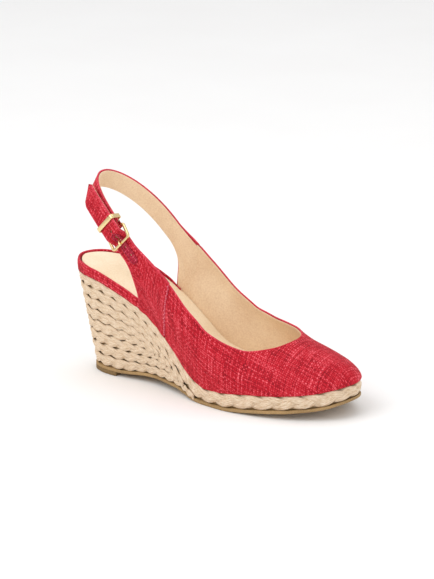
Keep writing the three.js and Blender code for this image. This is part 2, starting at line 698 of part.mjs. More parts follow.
const LAYERS = {
  lining: [-0.5 - GAP - LINING_THICK, -0.5 - GAP],
  outer: [-0.5, -0.5 + STRAP_THICK],
};
const layerTop = LAYERS.outer[1];
const SLING_END = HEEL_BAR_AT + 3.4; // the sling stops short of the heel bar
const slingWidth = () => SLING_WIDTH;
for (const [name, layer, look] of [["sling_strap", "outer", TEXTILE], ["sling_lining", "lining", LINING]]) {
  const [low, high] = LAYERS[layer];
  const strip = band(angleAt(SLING_END), Math.PI - 0.01, 26, slingWidth, low, high);
  add(name, join(strip, knuckle("medial", low, high)), look);
}

// Where the billet leaves the quarter it is level with the sling. Inside the buckle it climbs over
// the heel bar and lies on the outside of the sling from there to its tip.
const barCentre = (LAYERS.lining[0] + layerTop) / 2;
const chapeInner = (layerTop - LAYERS.lining[0]) / 2 + 1.5 * GAP;
const chapeOuter = chapeInner + CHAPE_THICK;
const BILLET_LIFT = barCentre + chapeOuter + 2 * GAP - LAYERS.lining[0];
const CLIMB_START = 20.6;
const CLIMB_END = HEEL_BAR_AT - chapeOuter;
const billetLift = (along) => BILLET_LIFT * smooth(along, CLIMB_START, CLIMB_END);
const TAIL_ROUND = 8;
const billetWidth = (angle) => {
  const left = (TAIL_AT - REACH * Math.sin(angle)) / TAIL_ROUND;
  return BILLET_WIDTH * (left < 1 ? lerp(0.35, 1, Math.sqrt(Math.max(0, 1 - (1 - left) ** 2))) : 1);
};

// Tools for the punched holes; the one in use is drawn out to a slot by the prong.
const HOLE_IN_USE = 22.4;
const SLOT_HALF = 3;
function holeTools() {
  return [-2, -1, 0, 1].map((k) => {
    const along = HOLE_IN_USE + k * HOLE_PITCH;
    const frame = strapFrame(angleAt(along));
    const hole = k === 0
      ? new THREE.BoxGeometry(2 * SLOT_HALF, 2 * (PRONG_RADIUS + GAP), 14)
      : new THREE.CylinderGeometry(HOLE_RADIUS, HOLE_RADIUS, 14, 10).rotateX(Math.PI / 2);
    const inward = frame.out.clone().negate();
    const basis = new THREE.Matrix4().makeBasis(frame.along, frame.across, inward);
    return hole.applyMatrix4(basis.setPosition(frame.centre));
  });
}

const tailAngle = angleAt(TAIL_AT);
for (const [name, layer, look] of [["billet_strap", "outer", TEXTILE], ["billet_lining", "lining", LINING]]) {
  const [low, high] = LAYERS[layer];
  const strip = band(0.01, tailAngle, 26, billetWidth, low, high, billetLift);
  add(name, cut(join(strip, knuckle("lateral", low, high)), ...holeTools()), look);
}

const patchLow = layerTop + GAP;
const patchHigh = patchLow + PATCH_THICK;
const patchStrip = band(
  angleAt(PATCH_START),
  angleAt(PATCH_END),
  14,
  () => PATCH_WIDTH,
  patchLow,
  patchHigh,
  billetLift,
);
add("billet_patch", cut(patchStrip, ...holeTools()), TEXTILE);

// The buckle stands on the strap at its heel bar. Local axes: X towards the front bar, Y across, Z out.
const heelFrame = strapFrame(angleAt(HEEL_BAR_AT));
const barPoint = strapCorner(heelFrame, 0, barCentre);
const toFront = heelFrame.along.clone().negate();
const buckleBasis = new THREE.Matrix4().makeBasis(toFront, heelFrame.across, heelFrame.out);
buckleBasis.setPosition(barPoint);

// Height of the front bar over the strap there, measured in the buckle's own axes.
const frontTarget = strapCorner(
  strapFrame(angleAt(HEEL_BAR_AT - BUCKLE_SPAN)),
  0,
  patchHigh + 2 * GAP + BAR_THICK / 2,
);
const frontLocal = frontTarget.applyMatrix4(buckleBasis.clone().invert());
const buckleTilt = Math.atan2(frontLocal.z, frontLocal.x);
const frameHalf = BILLET_WIDTH / 2 + BUCKLE_GAP + BAR_THICK / 2;

function rounded(width, height, radius) {
  const shape = new THREE.Shape();
  const x = width / 2;
  const y = height / 2;
  shape.moveTo(-x + radius, -y).lineTo(x - radius, -y);
  shape.absarc(x - radius, -y + radius, radius, -Math.PI / 2, 0);
  shape.lineTo(x, y - radius).absarc(x - radius, y - radius, radius, 0, Math.PI / 2);
  shape.lineTo(-x + radius, y).absarc(-x + radius, y - radius, radius, Math.PI / 2, Math.PI);
  shape.lineTo(-x, -y + radius).absarc(-x + radius, -y + radius, radius, Math.PI, 1.5 * Math.PI);
  return shape;
}

function buckleFrame() {
  const shape = rounded(BUCKLE_SPAN + BAR_THICK, 2 * frameHalf + BAR_THICK, 2.6);
  const hole = rounded(BUCKLE_SPAN - BAR_THICK, 2 * frameHalf - BAR_THICK, 1);
  shape.holes.push(hole);
  const ring = new THREE.ExtrudeGeometry(shape, { depth: BAR_THICK, bevelEnabled: false, curveSegments: 3 });
  ring.translate(BUCKLE_SPAN / 2, 0, -BAR_THICK / 2);
  return ring.rotateY(-buckleTilt).applyMatrix4(buckleBasis);
}
add("buckle_frame", fromSolid(solid(buckleFrame())), GOLD);

// The prong: an eye round the heel bar and a bent pin that rests on the front bar.
function buckleProng() {
  const eyeInner = (BAR_THICK / 2) * Math.SQRT2 + GAP / 2;
  const eye = new THREE.Shape().absarc(0, 0, eyeInner + 2 * PRONG_RADIUS, 0, 2 * Math.PI);
  eye.holes.push(new THREE.Path().absarc(0, 0, eyeInner, 0, 2 * Math.PI, true));
  const depth = 2 * PRONG_RADIUS;
  const ring = new THREE.ExtrudeGeometry(eye, { depth, bevelEnabled: false, curveSegments: 8 });
  ring.rotateX(Math.PI / 2).translate(0, PRONG_RADIUS, 0);
  const restOn = frontLocal.z + BAR_THICK / 2 / Math.cos(buckleTilt) + PRONG_RADIUS + GAP;
  const start = eyeInner + PRONG_RADIUS;
  const path = new THREE.CatmullRomCurve3([
    new THREE.Vector3(start, 0, -0.35), new THREE.Vector3(4.6, 0, -0.1), new THREE.Vector3(7, 0, 1.3),
    new THREE.Vector3(BUCKLE_SPAN - 2.4, 0, restOn - 1), new THREE.Vector3(BUCKLE_SPAN - 0.2, 0, restOn),
    new THREE.Vector3(BUCKLE_SPAN + 1.2, 0, restOn - 0.1),
  ]);
  const section = new THREE.Shape().absarc(0, 0, PRONG_RADIUS, 0, 2 * Math.PI);
  const pin = new THREE.ExtrudeGeometry(section, { steps: 14, extrudePath: path, curveSegments: 4 });
  return join(ring, pin);
}
add("buckle_prong", buckleProng().applyMatrix4(buckleBasis), GOLD);

// The chape is a folded tab: it holds the heel bar and is sewn to both faces of the sling.
function chape() {
  const outline = new THREE.Shape();
  outline.moveTo(-CHAPE_LENGTH, chapeOuter).lineTo(0, chapeOuter);
  outline.absarc(0, 0, chapeOuter, Math.PI / 2, -Math.PI / 2, true);
  outline.lineTo(-CHAPE_LENGTH, -chapeOuter).lineTo(-CHAPE_LENGTH, -chapeInner).lineTo(0, -chapeInner);
  outline.absarc(0, 0, chapeInner, -Math.PI / 2, Math.PI / 2, false);
  outline.lineTo(-CHAPE_LENGTH, chapeInner);
  const width = BILLET_WIDTH - 1;
  const tab = new THREE.ExtrudeGeometry(outline, { depth: width, bevelEnabled: false, curveSegments: 8 });
  tab.rotateX(Math.PI / 2).translate(0, width / 2, 0);
  const slot = new THREE.BoxGeometry(7.4, 2 * PRONG_RADIUS + 2 * GAP + 0.4, 4 * chapeOuter);
  return cut(tab, slot.translate(1.2, 0, 0)).applyMatrix4(buckleBasis);
}
add("chape", chape(), TEXTILE);

// The keeper is a flat metal loop round the sling and the billet's tail.
const keeperFrame = strapFrame(angleAt(KEEPER_AT));
const keeperBasis = new THREE.Matrix4().makeBasis(
  keeperFrame.along,
  keeperFrame.across,
  keeperFrame.out.clone().negate(),
);
function keeper() {
  const low = LAYERS.lining[0] - CHAPE_THICK - GAP * 2;
  const high = layerTop + BILLET_LIFT + GAP;
  const width = Math.max(SLING_WIDTH, BILLET_WIDTH) + 3 * GAP;
  const height = high - low + GAP;
  const shape = rounded(width + 2 * KEEPER_THICK, height + 2 * KEEPER_THICK, 1.4);
  shape.holes.push(rounded(width, height, 0.4));
  const depth = KEEPER_LENGTH;
  const loop = new THREE.ExtrudeGeometry(shape, { depth, bevelEnabled: false, curveSegments: 3 });
  loop.rotateX(Math.PI / 2).rotateZ(Math.PI / 2);
  loop.translate(-KEEPER_LENGTH / 2, 0, -(high + low) / 2);
  return loop.applyMatrix4(keeperBasis.clone().setPosition(keeperFrame.centre));
}
add("keeper", fromSolid(solid(keeper())), GOLD);

// ---- Origin: middle of the footprint, on the ground ----------------------------------------
const bounds = new THREE.Box3().setFromObject(shoe);
const middle = bounds.getCenter(new THREE.Vector3());
shoe.position.set(-middle.x, -middle.y, -bounds.min.z);
shoe.updateMatrixWorld(true);

export default shoe;
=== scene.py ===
import math

import bmesh
import bpy
import numpy as np
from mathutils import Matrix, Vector


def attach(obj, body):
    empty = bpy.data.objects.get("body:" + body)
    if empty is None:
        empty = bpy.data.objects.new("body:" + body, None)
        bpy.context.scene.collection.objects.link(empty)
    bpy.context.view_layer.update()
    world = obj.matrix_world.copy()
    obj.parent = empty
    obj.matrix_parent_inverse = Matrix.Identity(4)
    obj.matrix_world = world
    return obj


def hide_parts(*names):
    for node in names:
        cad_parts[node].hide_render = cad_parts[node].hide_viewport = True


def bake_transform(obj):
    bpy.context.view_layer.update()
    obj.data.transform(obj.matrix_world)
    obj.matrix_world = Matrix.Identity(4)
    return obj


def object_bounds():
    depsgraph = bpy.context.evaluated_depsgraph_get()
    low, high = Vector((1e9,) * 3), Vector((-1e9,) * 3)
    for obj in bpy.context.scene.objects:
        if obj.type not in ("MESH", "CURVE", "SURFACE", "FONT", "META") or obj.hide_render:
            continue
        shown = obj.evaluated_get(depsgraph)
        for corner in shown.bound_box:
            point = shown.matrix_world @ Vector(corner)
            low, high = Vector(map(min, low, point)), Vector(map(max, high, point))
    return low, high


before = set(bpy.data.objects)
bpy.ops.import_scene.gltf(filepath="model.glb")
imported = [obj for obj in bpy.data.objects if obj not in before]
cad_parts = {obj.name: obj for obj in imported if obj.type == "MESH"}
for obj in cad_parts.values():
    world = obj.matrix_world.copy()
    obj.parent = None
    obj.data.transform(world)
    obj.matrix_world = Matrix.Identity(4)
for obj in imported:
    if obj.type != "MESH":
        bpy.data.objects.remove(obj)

cad_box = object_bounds()

# ---- Floor, light and camera ---------------------------------------------------------------
# A pale matt floor under three large soft lamps, with the sandal seen from its outer side, a
# little in front of square and from just above.
VIEW_AZIMUTH = 32.2
VIEW_ELEVATION = 17.5
VIEW_DISTANCE = 2.915
VIEW_LENS = 252
FLOOR_HALF, FLOOR_LEVEL = 6, -0.0002
AIM_HEIGHT = 0.06


def linear(hex_colour):
    """The linear light of an sRGB hex colour, each channel by the sRGB curve, with alpha 1."""
    channels = np.array([int(hex_colour[k:k + 2], 16) for k in (1, 3, 5)]) / 255
    return (*np.where(channels <= 0.04045, channels / 12.92, ((channels + 0.055) / 1.055) ** 2.4), 1.0)


def add_node(tree, kind, inputs=None, **settings):
    """Adds a node, sets its settings, and links or sets each named input."""
    made = tree.nodes.new(kind)
    for name, value in settings.items():
        setattr(made, name, value)
    for name, value in (inputs or {}).items():
        if isinstance(value, bpy.types.NodeSocket):
            tree.links.new(value, made.inputs[name])
        else:
            made.inputs[name].default_value = value
    return made


def new_material(name, roughness, **sockets):
    """A material with its shader's constant sockets set."""
    material = bpy.data.materials.new(name)
    material.use_nodes = True
    shader = material.node_tree.nodes["Principled BSDF"]
    shader.inputs["Roughness"].default_value = roughness
    for socket, value in sockets.items():
        shader.inputs[socket.replace("_", " ")].default_value = value
    return material, material.node_tree, shader


def painted_floor():
    """Matt pale paint, with the faint unevenness of a rolled coat."""
    material, tree, shader = new_material("rolled_matt_paint", 0.9)
    place = add_node(tree, "ShaderNodeTexCoord")
    coat = add_node(tree, "ShaderNodeTexNoise", {
        "Vector": place.outputs["Object"], "Scale": 9.0, "Detail": 3.0})
    tone = add_node(tree, "ShaderNodeMix", {
        "Factor": coat.outputs["Fac"], 6: linear("#f4f3f2"), 7: linear("#f8f8f7")}, data_type="RGBA")
    tree.links.new(tone.outputs[2], shader.inputs["Base Color"])
    return material


floor_mesh = bpy.data.meshes.new("floor")
corner_signs = [(-1, -1), (1, -1), (1, 1), (-1, 1)]
floor_corners = [(x * FLOOR_HALF, y * FLOOR_HALF, FLOOR_LEVEL) for x, y in corner_signs]
floor_mesh.from_pydata(floor_corners, [], [(0, 1, 2, 3)])
floor_mesh.materials.append(painted_floor())
floor = bpy.data.objects.new("floor", floor_mesh)
bpy.context.scene.collection.objects.link(floor)


def soft_lamp(name, azimuth, elevation, distance, size, watts):
    """A square area lamp that looks at the middle of the sandal."""
    lamp = bpy.data.lights.new(name, "AREA")
    lamp.size = size
    lamp.energy = watts
    holder = bpy.data.objects.new(name, lamp)
    a, e = math.radians(azimuth), math.radians(elevation)
    back = Vector((math.sin(a) * math.cos(e), -math.cos(a) * math.cos(e), math.sin(e)))
    holder.location = Vector((0, 0, AIM_HEIGHT)) + back * distance
    holder.rotation_euler = back.to_track_quat("Z", "Y").to_euler()
    bpy.context.scene.collection.objects.link(holder)


soft_lamp("key_lamp", -30, 46, 1.6, 1.3, 12)
soft_lamp("fill_lamp", 80, 30, 1.8, 1.4, 6)
soft_lamp("top_lamp", 180, 70, 1.5, 1.2, 4)

world = bpy.data.worlds.new("studio")
bpy.context.scene.world = world
world.use_nodes = True
world.node_tree.nodes["Background"].inputs["Color"].default_value = linear("#fbfbfc")
world.node_tree.nodes["Background"].inputs["Strength"].default_value = 0.78
bpy.context.scene.view_settings.view_transform = "Standard"

camera_data = bpy.data.cameras.new("camera")
camera_data.lens = VIEW_LENS
camera_data.clip_end = 50
camera = bpy.data.objects.new("camera", camera_data)
turn, rise = math.radians(VIEW_AZIMUTH), math.radians(VIEW_ELEVATION)
view_back = Vector((math.sin(turn) * math.cos(rise), -math.cos(turn) * math.cos(rise), math.sin(rise)))
camera.location = (cad_box[0] + cad_box[1]) / 2 + view_back * VIEW_DISTANCE
camera.rotation_euler = view_back.to_track_quat("Z", "Y").to_euler()
bpy.context.scene.collection.objects.link(camera)
bpy.context.scene.camera = camera


# ---- Outsole and heel tip ------------------------------------------------------------------
# A thin crepe rubber sheet cemented under the whole sole, and a harder rubber top piece nailed
# under the heel. Both are cut from sheet, so their edges show a fine sawn grain.
LENGTH = 236.0
HEEL_BACK = np.array([-118.1055, 0.884, 0.0])
HEEL_WIDTH, BALL_WIDTH = 53.0, 86.0
HEEL_HEIGHT, BAND_HEIGHT = 75.4, 12.5
BOTTOM_INSET, FORE_INSET, HEEL_RAKE = 7.5, 1.1, 7.0
TIP_THICK, TIP_LENGTH, OUTSOLE_THICK, JOIN_GAP = 3.0, 27.0, 2.2, 0.3
SLAB_END_HALF = 1.2
WIDEN_FROM, WIDEN_TO = 0.25, 0.62  # shares of the length between the heel's width and the ball's
DRAWN_HEEL_HALF, DRAWN_BALL_HALF = 26.35, 42.6  # the half widths at which the outline is drawn
TAPER_FROM, TAPER_TO, RAKE_TO = 0.25, 0.51, 0.34
PLACES = [0, 0.042, 0.093, 0.17, 0.3, 0.424, 0.551, 0.657, 0.741, 0.826, 0.898, 0.953, 1]
LATERAL = [0, 18.1, 24, 26.8, 27.3, 31.2, 40, 43.6, 42.6, 38.4, 31, 21.6, 0]
MEDIAL = [0, 18.1, 23.6, 25.9, 24.6, 25.4, 34.7, 41.5, 42.6, 38.9, 31.6, 22.1, 0]
WEDGE = [[0, 1], [0.106, 0.978], [0.212, 0.858], [0.318, 0.65], [0.403, 0.382], [0.487, 0.102],
         [0.551, 0]]
TOE_RISE = [[0.551, 0], [0.614, 0.5], [0.7, 2.8], [0.805, 4.9], [0.911, 7.8], [1, 12.1]]
UNDERSIDE = [[0, TIP_THICK], [0.18, TIP_THICK], [0.318, 5.2], [0.424, 4.3], [0.5, 0.9], [0.54, 0],
             [0.63, 0], [0.68, 0.9], [0.763, 2.9], [0.847, 4.9], [0.932, 7.9], [1, 13]]


def curve(points, x):
    """A curve through [place, value] points: cubic pieces whose slope at a point is the harmonic
    mean of the chords beside it, or zero at a turning point, so that it never overshoots."""
    p = np.array(points, float)
    x = np.clip(np.asarray(x, float), p[0, 0], p[-1, 0])
    width, step = np.diff(p[:, 0]), np.diff(p[:, 1])
    chord = step / width
    product = chord[:-1] * chord[1:]
    total = np.where(product > 0, chord[:-1] + chord[1:], 1)
    slope = np.concatenate([chord[:1], np.where(product > 0, 2 * product / total, 0), chord[-1:]])
    k = np.clip(np.searchsorted(p[:, 0], x, side="right") - 1, 0, len(width) - 1)
    t = (x - p[k, 0]) / width[k]
    a, b = slope[k] * width[k], slope[k + 1] * width[k]
    return p[k, 1] + t * a + t**2 * (3 * step[k] - 2 * a - b) + t**3 * (a + b - 2 * step[k])


def smooth(x, low, high):
    """Rises from 0 at low to 1 at high as t squared times (3 - 2 t)."""
    t = np.clip((np.asarray(x, float) - low) / (high - low), 0, 1)
    return t * t * (3 - 2 * t)


def full_half(s):
    """Half the sole's width at share s of its length, if it had straight sides."""
    return HEEL_WIDTH / 2 + (BALL_WIDTH - HEEL_WIDTH) / 2 * smooth(s, WIDEN_FROM, WIDEN_TO)


def half_width(side, s):
    """Half width of the sole's outline. Its square is the curve, so that both ends are round."""
    outer = curve(np.stack([PLACES, np.square(LATERAL)], 1), s)
    inner = curve(np.stack([PLACES, np.square(MEDIAL)], 1), s)
    drawn = DRAWN_HEEL_HALF + (DRAWN_BALL_HALF - DRAWN_HEEL_HALF) * smooth(s, WIDEN_FROM, WIDEN_TO)
    return np.sqrt(np.maximum(np.where(np.asarray(side) < 0, outer, inner), 0)) * full_half(s) / drawn


def underside(s):
    """Height of the outsole's lower face."""
    return curve(UNDERSIDE, s)


def jute_top(s):
    """Height of the wedge's top edge: the forefoot band, the wedge above it, and the toe's rise."""
    return BAND_HEIGHT + (HEEL_HEIGHT - BAND_HEIGHT) * curve(WEDGE, s) + curve(TOE_RISE, s)


def plan_point(side, s, inset):
    """A point of the outline, shrunk towards its middle by inset."""
    return inset + s * (LENGTH - 2 * inset), side * half_width(side, s) * (1 - inset / full_half(s))


def wall_foot(side, s, depth):
    """The foot of the side wall: the outline shrunk by the heel's taper and moved forward by its
    rake, which falls off as a square over the first third of the length."""
    taper = BOTTOM_INSET + (FORE_INSET - BOTTOM_INSET) * smooth(s, TAPER_FROM, TAPER_TO)
    x, y = plan_point(side, s, taper + depth)
    return x + HEEL_RAKE * np.maximum(0, 1 - s / RAKE_TO) ** 2, y


def sole_half(side, s):
    """Half width of the wall's foot at length s, read off its outline."""
    along = np.linspace(0, 1, 1500) ** 1.5
    x, y = wall_foot(side, along, JOIN_GAP)
    return np.interp(s * LENGTH, x, np.abs(y))


def grid_faces(rows, columns, round_rows=False, round_columns=False):
    """The four-cornered faces of a grid of points, with the row and the column of each corner."""
    across, along = np.arange(columns - (not round_columns)), np.arange(rows - (not round_rows))
    i, j = np.meshgrid(along, across, indexing="ij")
    ci = np.stack([i, i + 1, i + 1, i], -1).reshape(-1, 4)
    cj = np.stack([j, j, j + 1, j + 1], -1).reshape(-1, 4)
    return (ci % rows) * columns + cj % columns, ci, cj


def end_caps(rows, columns, first=0):
    """The two faces that close a tube of rings, whose points are numbered from first."""
    last = first + (rows - 1) * columns
    return [range(first, first + columns), range(last, last + columns)]


def make_piece(name, points, faces, material, uv=None, outward=True):
    """Makes a mesh object from points in millimetres from the heel's back, with UVs in millimetres."""
    mesh = bpy.data.meshes.new(name)
    placed = (np.reshape(points, (-1, 3)) + HEEL_BACK) / 1000
    mesh.from_pydata(placed.tolist(), [], [list(face) for face in faces])
    if uv is not None:
        layer = mesh.uv_layers.new(name="cloth")
        layer.data.foreach_set("uv", np.asarray(uv, np.float32).ravel())
    mesh.materials.append(material)
    work = bmesh.new()
    work.from_mesh(mesh)
    if outward:
        bmesh.ops.recalc_face_normals(work, faces=work.faces)
    work.to_mesh(mesh)
    work.free()
    mesh.polygons.foreach_set("use_smooth", np.ones(len(mesh.polygons), bool))
    piece = bpy.data.objects.new(name, mesh)
    bpy.context.scene.collection.objects.link(piece)
    return piece


def slab(name, start, end, half, low, high, edge, material):
    """A plate across the sole between two levels. At each length its section is a rectangle whose
    corners are quarter circles of radius edge; the ends close on a short straight line."""
    q = (1 - np.cos(np.linspace(0, np.pi, 150))) / 2
    s = start + (end - start) * q
    corner = np.linspace(0, np.pi / 2, 4)
    floor_level, top_level = low(s)[:, None], high(s)[:, None]
    sections = []
    for side in (-1, 1):
        width = np.maximum(half(side, s), SLAB_END_HALF)[:, None]
        fall = np.minimum(edge, (top_level - floor_level) / 2)
        lower_y, upper_y = width - fall + fall * np.sin(corner), width - fall + fall * np.cos(corner)
        lower = np.stack([side * lower_y, floor_level + fall * (1 - np.cos(corner))], -1)
        upper = np.stack([side * upper_y, top_level - fall * (1 - np.sin(corner))], -1)
        section = np.concatenate([lower, upper], 1)
        sections.append(section[:, ::side * -1])
    ring = np.concatenate(sections, 1)
    fill = np.linspace(0, 1, 9)[1:-1, None]
    top = ring[:, 7:8] * (1 - fill[None]) + ring[:, 8:9] * fill[None]
    bottom = ring[:, 15:16] * (1 - fill[None]) + ring[:, 0:1] * fill[None]
    ring = np.concatenate([ring[:, :8], top, ring[:, 8:], bottom], 1)
    points = np.concatenate([np.broadcast_to(s[:, None, None] * LENGTH, ring[..., :1].shape), ring], -1)
    faces, _, _ = grid_faces(*points.shape[:2], round_columns=True)
    return make_piece(name, points, [*faces.tolist(), *end_caps(*points.shape[:2])], material)


def mottled(name, dark, light, grain_mm, detail, dent, dent_mm, roughness,
            cloud_mm=None, spread=0.5, **sockets):
    """A dull surface: its tone runs from dark to light with a noise of the given grain, which also
    dents it. A broader noise may be added to it, and the tone then runs over 1 - spread to 1 + spread."""
    material, tree, shader = new_material(name, roughness, **sockets)
    place = add_node(tree, "ShaderNodeTexCoord").outputs["Object"]
    grain = add_node(tree, "ShaderNodeTexNoise", {
        "Vector": place, "Scale": 1000 / grain_mm, "Detail": detail}).outputs["Fac"]
    tone = grain
    if cloud_mm:
        cloud = add_node(tree, "ShaderNodeTexNoise", {
            "Vector": place, "Scale": 1000 / cloud_mm, "Detail": 2.0})
        both = add_node(tree, "ShaderNodeMath", {0: grain, 1: cloud.outputs["Fac"]}, operation="ADD")
        tone = add_node(tree, "ShaderNodeMapRange", {
            "Value": both.outputs[0], "From Min": 1 - spread, "From Max": 1 + spread}).outputs[0]
    colour = add_node(tree, "ShaderNodeMix", {
        "Factor": tone, 6: linear(dark), 7: linear(light)}, data_type="RGBA")
    bump = add_node(tree, "ShaderNodeBump", {"Height": grain, "Strength": dent, "Distance": dent_mm / 1000})
    tree.links.new(colour.outputs[2], shader.inputs["Base Color"])
    tree.links.new(bump.outputs[0], shader.inputs["Normal"])
    return material


def sawn_rubber(name, dark, light, grain_mm):
    """Crepe rubber: dull, with darker specks of filler and the fine ridges of a sawn edge."""
    return mottled(name, dark, light, grain_mm, detail=4.0, dent=0.35, dent_mm=0.4, roughness=0.78,
                   cloud_mm=25, spread=0.25)


sole_start = (BOTTOM_INSET + HEEL_RAKE + JOIN_GAP) / LENGTH
sole_end = 1 - (FORE_INSET + JOIN_GAP) / LENGTH
crepe = sawn_rubber("crepe_rubber", "#8f7148", "#b39263", 0.9)
outsole = slab("outsole_sheet", sole_start, sole_end, sole_half,
               underside, lambda s: underside(s) + OUTSOLE_THICK, 0.5, crepe)
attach(outsole, "shoe")
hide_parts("outsole")

tip_end = sole_start + TIP_LENGTH / LENGTH
hard_rubber = sawn_rubber("hard_heel_rubber", "#6d5634", "#86693f", 1.4)
heel_tip = slab("heel_tip_block", sole_start, tip_end, sole_half,
                lambda s: 0 * s, lambda s: 0 * s + TIP_THICK - 0.1, 0.4, hard_rubber)
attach(heel_tip, "shoe")
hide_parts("heel_tip")


# ---- Hidden middle: cork core, shank, insole board, toe puff --------------------------------
# A pressed cork block gives the wedge its height, with a steel strip let into its top under
# the arch. The board that the upper is lasted over lies on it, and a stiffener shapes the toe.
def granular(name, dark, light, grain_mm, roughness):
    """Pressed granules: each cell of a Voronoi pattern takes its own tone, and its rim is a dent."""
    material, tree, shader = new_material(name, roughness)
    place = add_node(tree, "ShaderNodeTexCoord").outputs["Object"]
    cells = add_node(tree, "ShaderNodeTexVoronoi", {"Vector": place, "Scale": 1000 / grain_mm})
    tone = add_node(tree, "ShaderNodeSeparateColor", {"Color": cells.outputs["Color"]})
    colour = add_node(tree, "ShaderNodeMix", {
        "Factor": tone.outputs[0], 6: linear(dark), 7: linear(light)}, data_type="RGBA")
    bump = add_node(tree, "ShaderNodeBump", {
        "Height": cells.outputs["Distance"], "Strength": 0.3, "Distance": 0.0004})
    tree.links.new(colour.outputs[2], shader.inputs["Base Color"])
    tree.links.new(bump.outputs[0], shader.inputs["Normal"])
    return material


def rolled_steel():
    """Cold-rolled spring steel: grey metal with fine scratches along the strip."""
    material, tree, shader = new_material("rolled_spring_steel", 0.35, Metallic=1.0)
    place = add_node(tree, "ShaderNodeTexCoord").outputs["Object"]
    along = add_node(tree, "ShaderNodeMapping", {"Vector": place, "Scale": (30.0, 1500.0, 1500.0)})
    scratch = add_node(tree, "ShaderNodeTexNoise", {"Vector": along.outputs[0], "Scale": 1.0, "Detail": 3.0})
    colour = add_node(tree, "ShaderNodeMix", {
        "Factor": scratch.outputs["Fac"], 6: linear("#7f8388"), 7: linear("#a4a8ac")}, data_type="RGBA")
    rough = add_node(tree, "ShaderNodeMapRange", {
        "Value": scratch.outputs["Fac"], "To Min": 0.25, "To Max": 0.5})
    tree.links.new(colour.outputs[2], shader.inputs["Base Color"])
    tree.links.new(rough.outputs[0], shader.inputs["Roughness"])
    return material


for node, material in [
    ("wedge_core", granular("pressed_cork", "#8a6238", "#c79c68", 2.2, 0.9)),
    ("insole_board", granular("fibre_board", "#7c6a52", "#a08c70", 0.8, 0.9)),
    ("toe_puff", granular("felted_stiffener", "#cdb593", "#e6d2b4", 0.7, 0.9)),
    ("shank", rolled_steel()),
]:
    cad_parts[node].data.materials.clear()
    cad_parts[node].data.materials.append(material)


# ---- Jute braids ---------------------------------------------------------------------------
# Flat plaits of three soft jute strands, wound round the heel in rows that run out one after
# another under the arch. The top row goes round the whole sole. Each strand is a bundle of
# twisted fibres, so it is dull and pale straw; the brown where strands dip into the gaps is painted shade.
ROW_ENDS = np.array([0.525, 0.475, 0.425, 0.375, 0.395, 0.445, 0.495])
ROW_FADE = 0.15
ROW_TIP_HEIGHT = 1.4
TOP_ROW_HEIGHT = 11.6
STRAND_SWING = 0.27  # shares of the row's height
STRAND_HALF = 0.27
STRAND_THICK = 0.13
TOP_SWING, TOP_STRAND_HALF, TOP_THICK = 0.245, 0.285, 0.115  # the top braid is wound flatter
STRAND_DIP = 0.085
PLAIT_PITCH = 4.2
STRAND_LEAST = 5.2  # a braid is never thinner than this; it slips behind its neighbours instead
STRAND_STEP = 1.15  # millimetres between rings
STRAND_SIDES = 12
ROPE_LAY = 9.0  # millimetres in which a strand's lobes move on by one
ROPE_LOBES, ROPE_RELIEF = 4, 0.05
TRACK_DEPTH = 0.26  # how far inside the wall the strands' track lies


def wall_point(side, s, share, depth):
    """A point of the side wall, from its foot at share 0 to its top edge at 1, depth inwards."""
    top_x, top_y = plan_point(side, s, depth)
    foot_x, foot_y = wall_foot(side, s, depth)
    top = np.stack([top_x, top_y, jute_top(top_x / LENGTH)], -1)
    foot = np.stack([foot_x, foot_y, underside(foot_x / LENGTH) + OUTSOLE_THICK + JOIN_GAP], -1)
    return foot + (top - foot) * np.asarray(share)[..., None]


def row_levels(s):
    """Shares of the wall's height at which the rows meet. The top row grows to the forefoot band's
    height, and each other row gives up its height before its own end."""
    wall = jute_top(s) - underside(s) - OUTSOLE_THICK - JOIN_GAP
    even_row = wall / (len(ROW_ENDS) + 1)
    top_row = np.minimum(wall, even_row + (TOP_ROW_HEIGHT - even_row) * smooth(s, 0.2, 0.45))
    keep = smooth(ROW_ENDS[:, None] - s[None], 0, ROW_FADE)
    share = keep / np.maximum(keep.sum(0), 1e-9) * (wall - top_row)
    levels = np.concatenate([0 * wall[None], np.cumsum(share, 0), wall[None]])
    return levels / wall, wall


def walked(points, axis=0):
    """Distance walked along a line of points, or along every line of a grid in one direction."""
    step = np.linalg.norm(np.diff(points, axis=axis), axis=-1)
    return np.concatenate([0 * np.take(step, [0], axis), np.cumsum(step, axis)], axis)


def resample(step, *tracks):
    """The same tracks at even distances along the first of them."""
    length = walked(tracks[0])
    count = int(length[-1] / step)
    at = np.linspace(0, length[-1], count)
    return at, [np.stack([np.interp(at, length, t[:, k]) for k in range(t.shape[1])], 1) for t in tracks]


def unit(v):
    """Each vector divided by its length."""
    return v / np.maximum(np.linalg.norm(v, axis=-1, keepdims=True), 1e-12)


def row_track(row, closed):
    """Centre, up vector and height of one row, from the outer side round the heel to the inner."""
    if closed:
        angle = np.linspace(-np.pi, np.pi, 5000)
        side, s = np.sign(angle), (1 - np.cos(angle)) / 2
    else:
        dense = np.linspace(0.05, 0.53, 2000)
        levels, wall = row_levels(dense)
        tall = (levels[row + 1] - levels[row]) * wall > ROW_TIP_HEIGHT
        q = np.linspace(-1, 1, 4000)
        side, s = np.sign(q), dense[tall].max() * q * q
    levels, wall = row_levels(s)
    height = (levels[row + 1] - levels[row]) * wall
    depth = TRACK_DEPTH * height
    low, high = wall_point(side, s, levels[row], depth), wall_point(side, s, levels[row + 1], depth)
    _, (centre, up, tall) = resample(STRAND_STEP, (low + high) / 2, high - low, height[:, None])
    return centre, unit(up), tall[:, 0]


def mark_points(piece, name, values):
    """Gives every point of a piece a value that its material reads by name."""
    marks = piece.data.attributes.new(name, "FLOAT", "POINT")
    marks.data.foreach_set("value", np.asarray(values, np.float32).ravel())


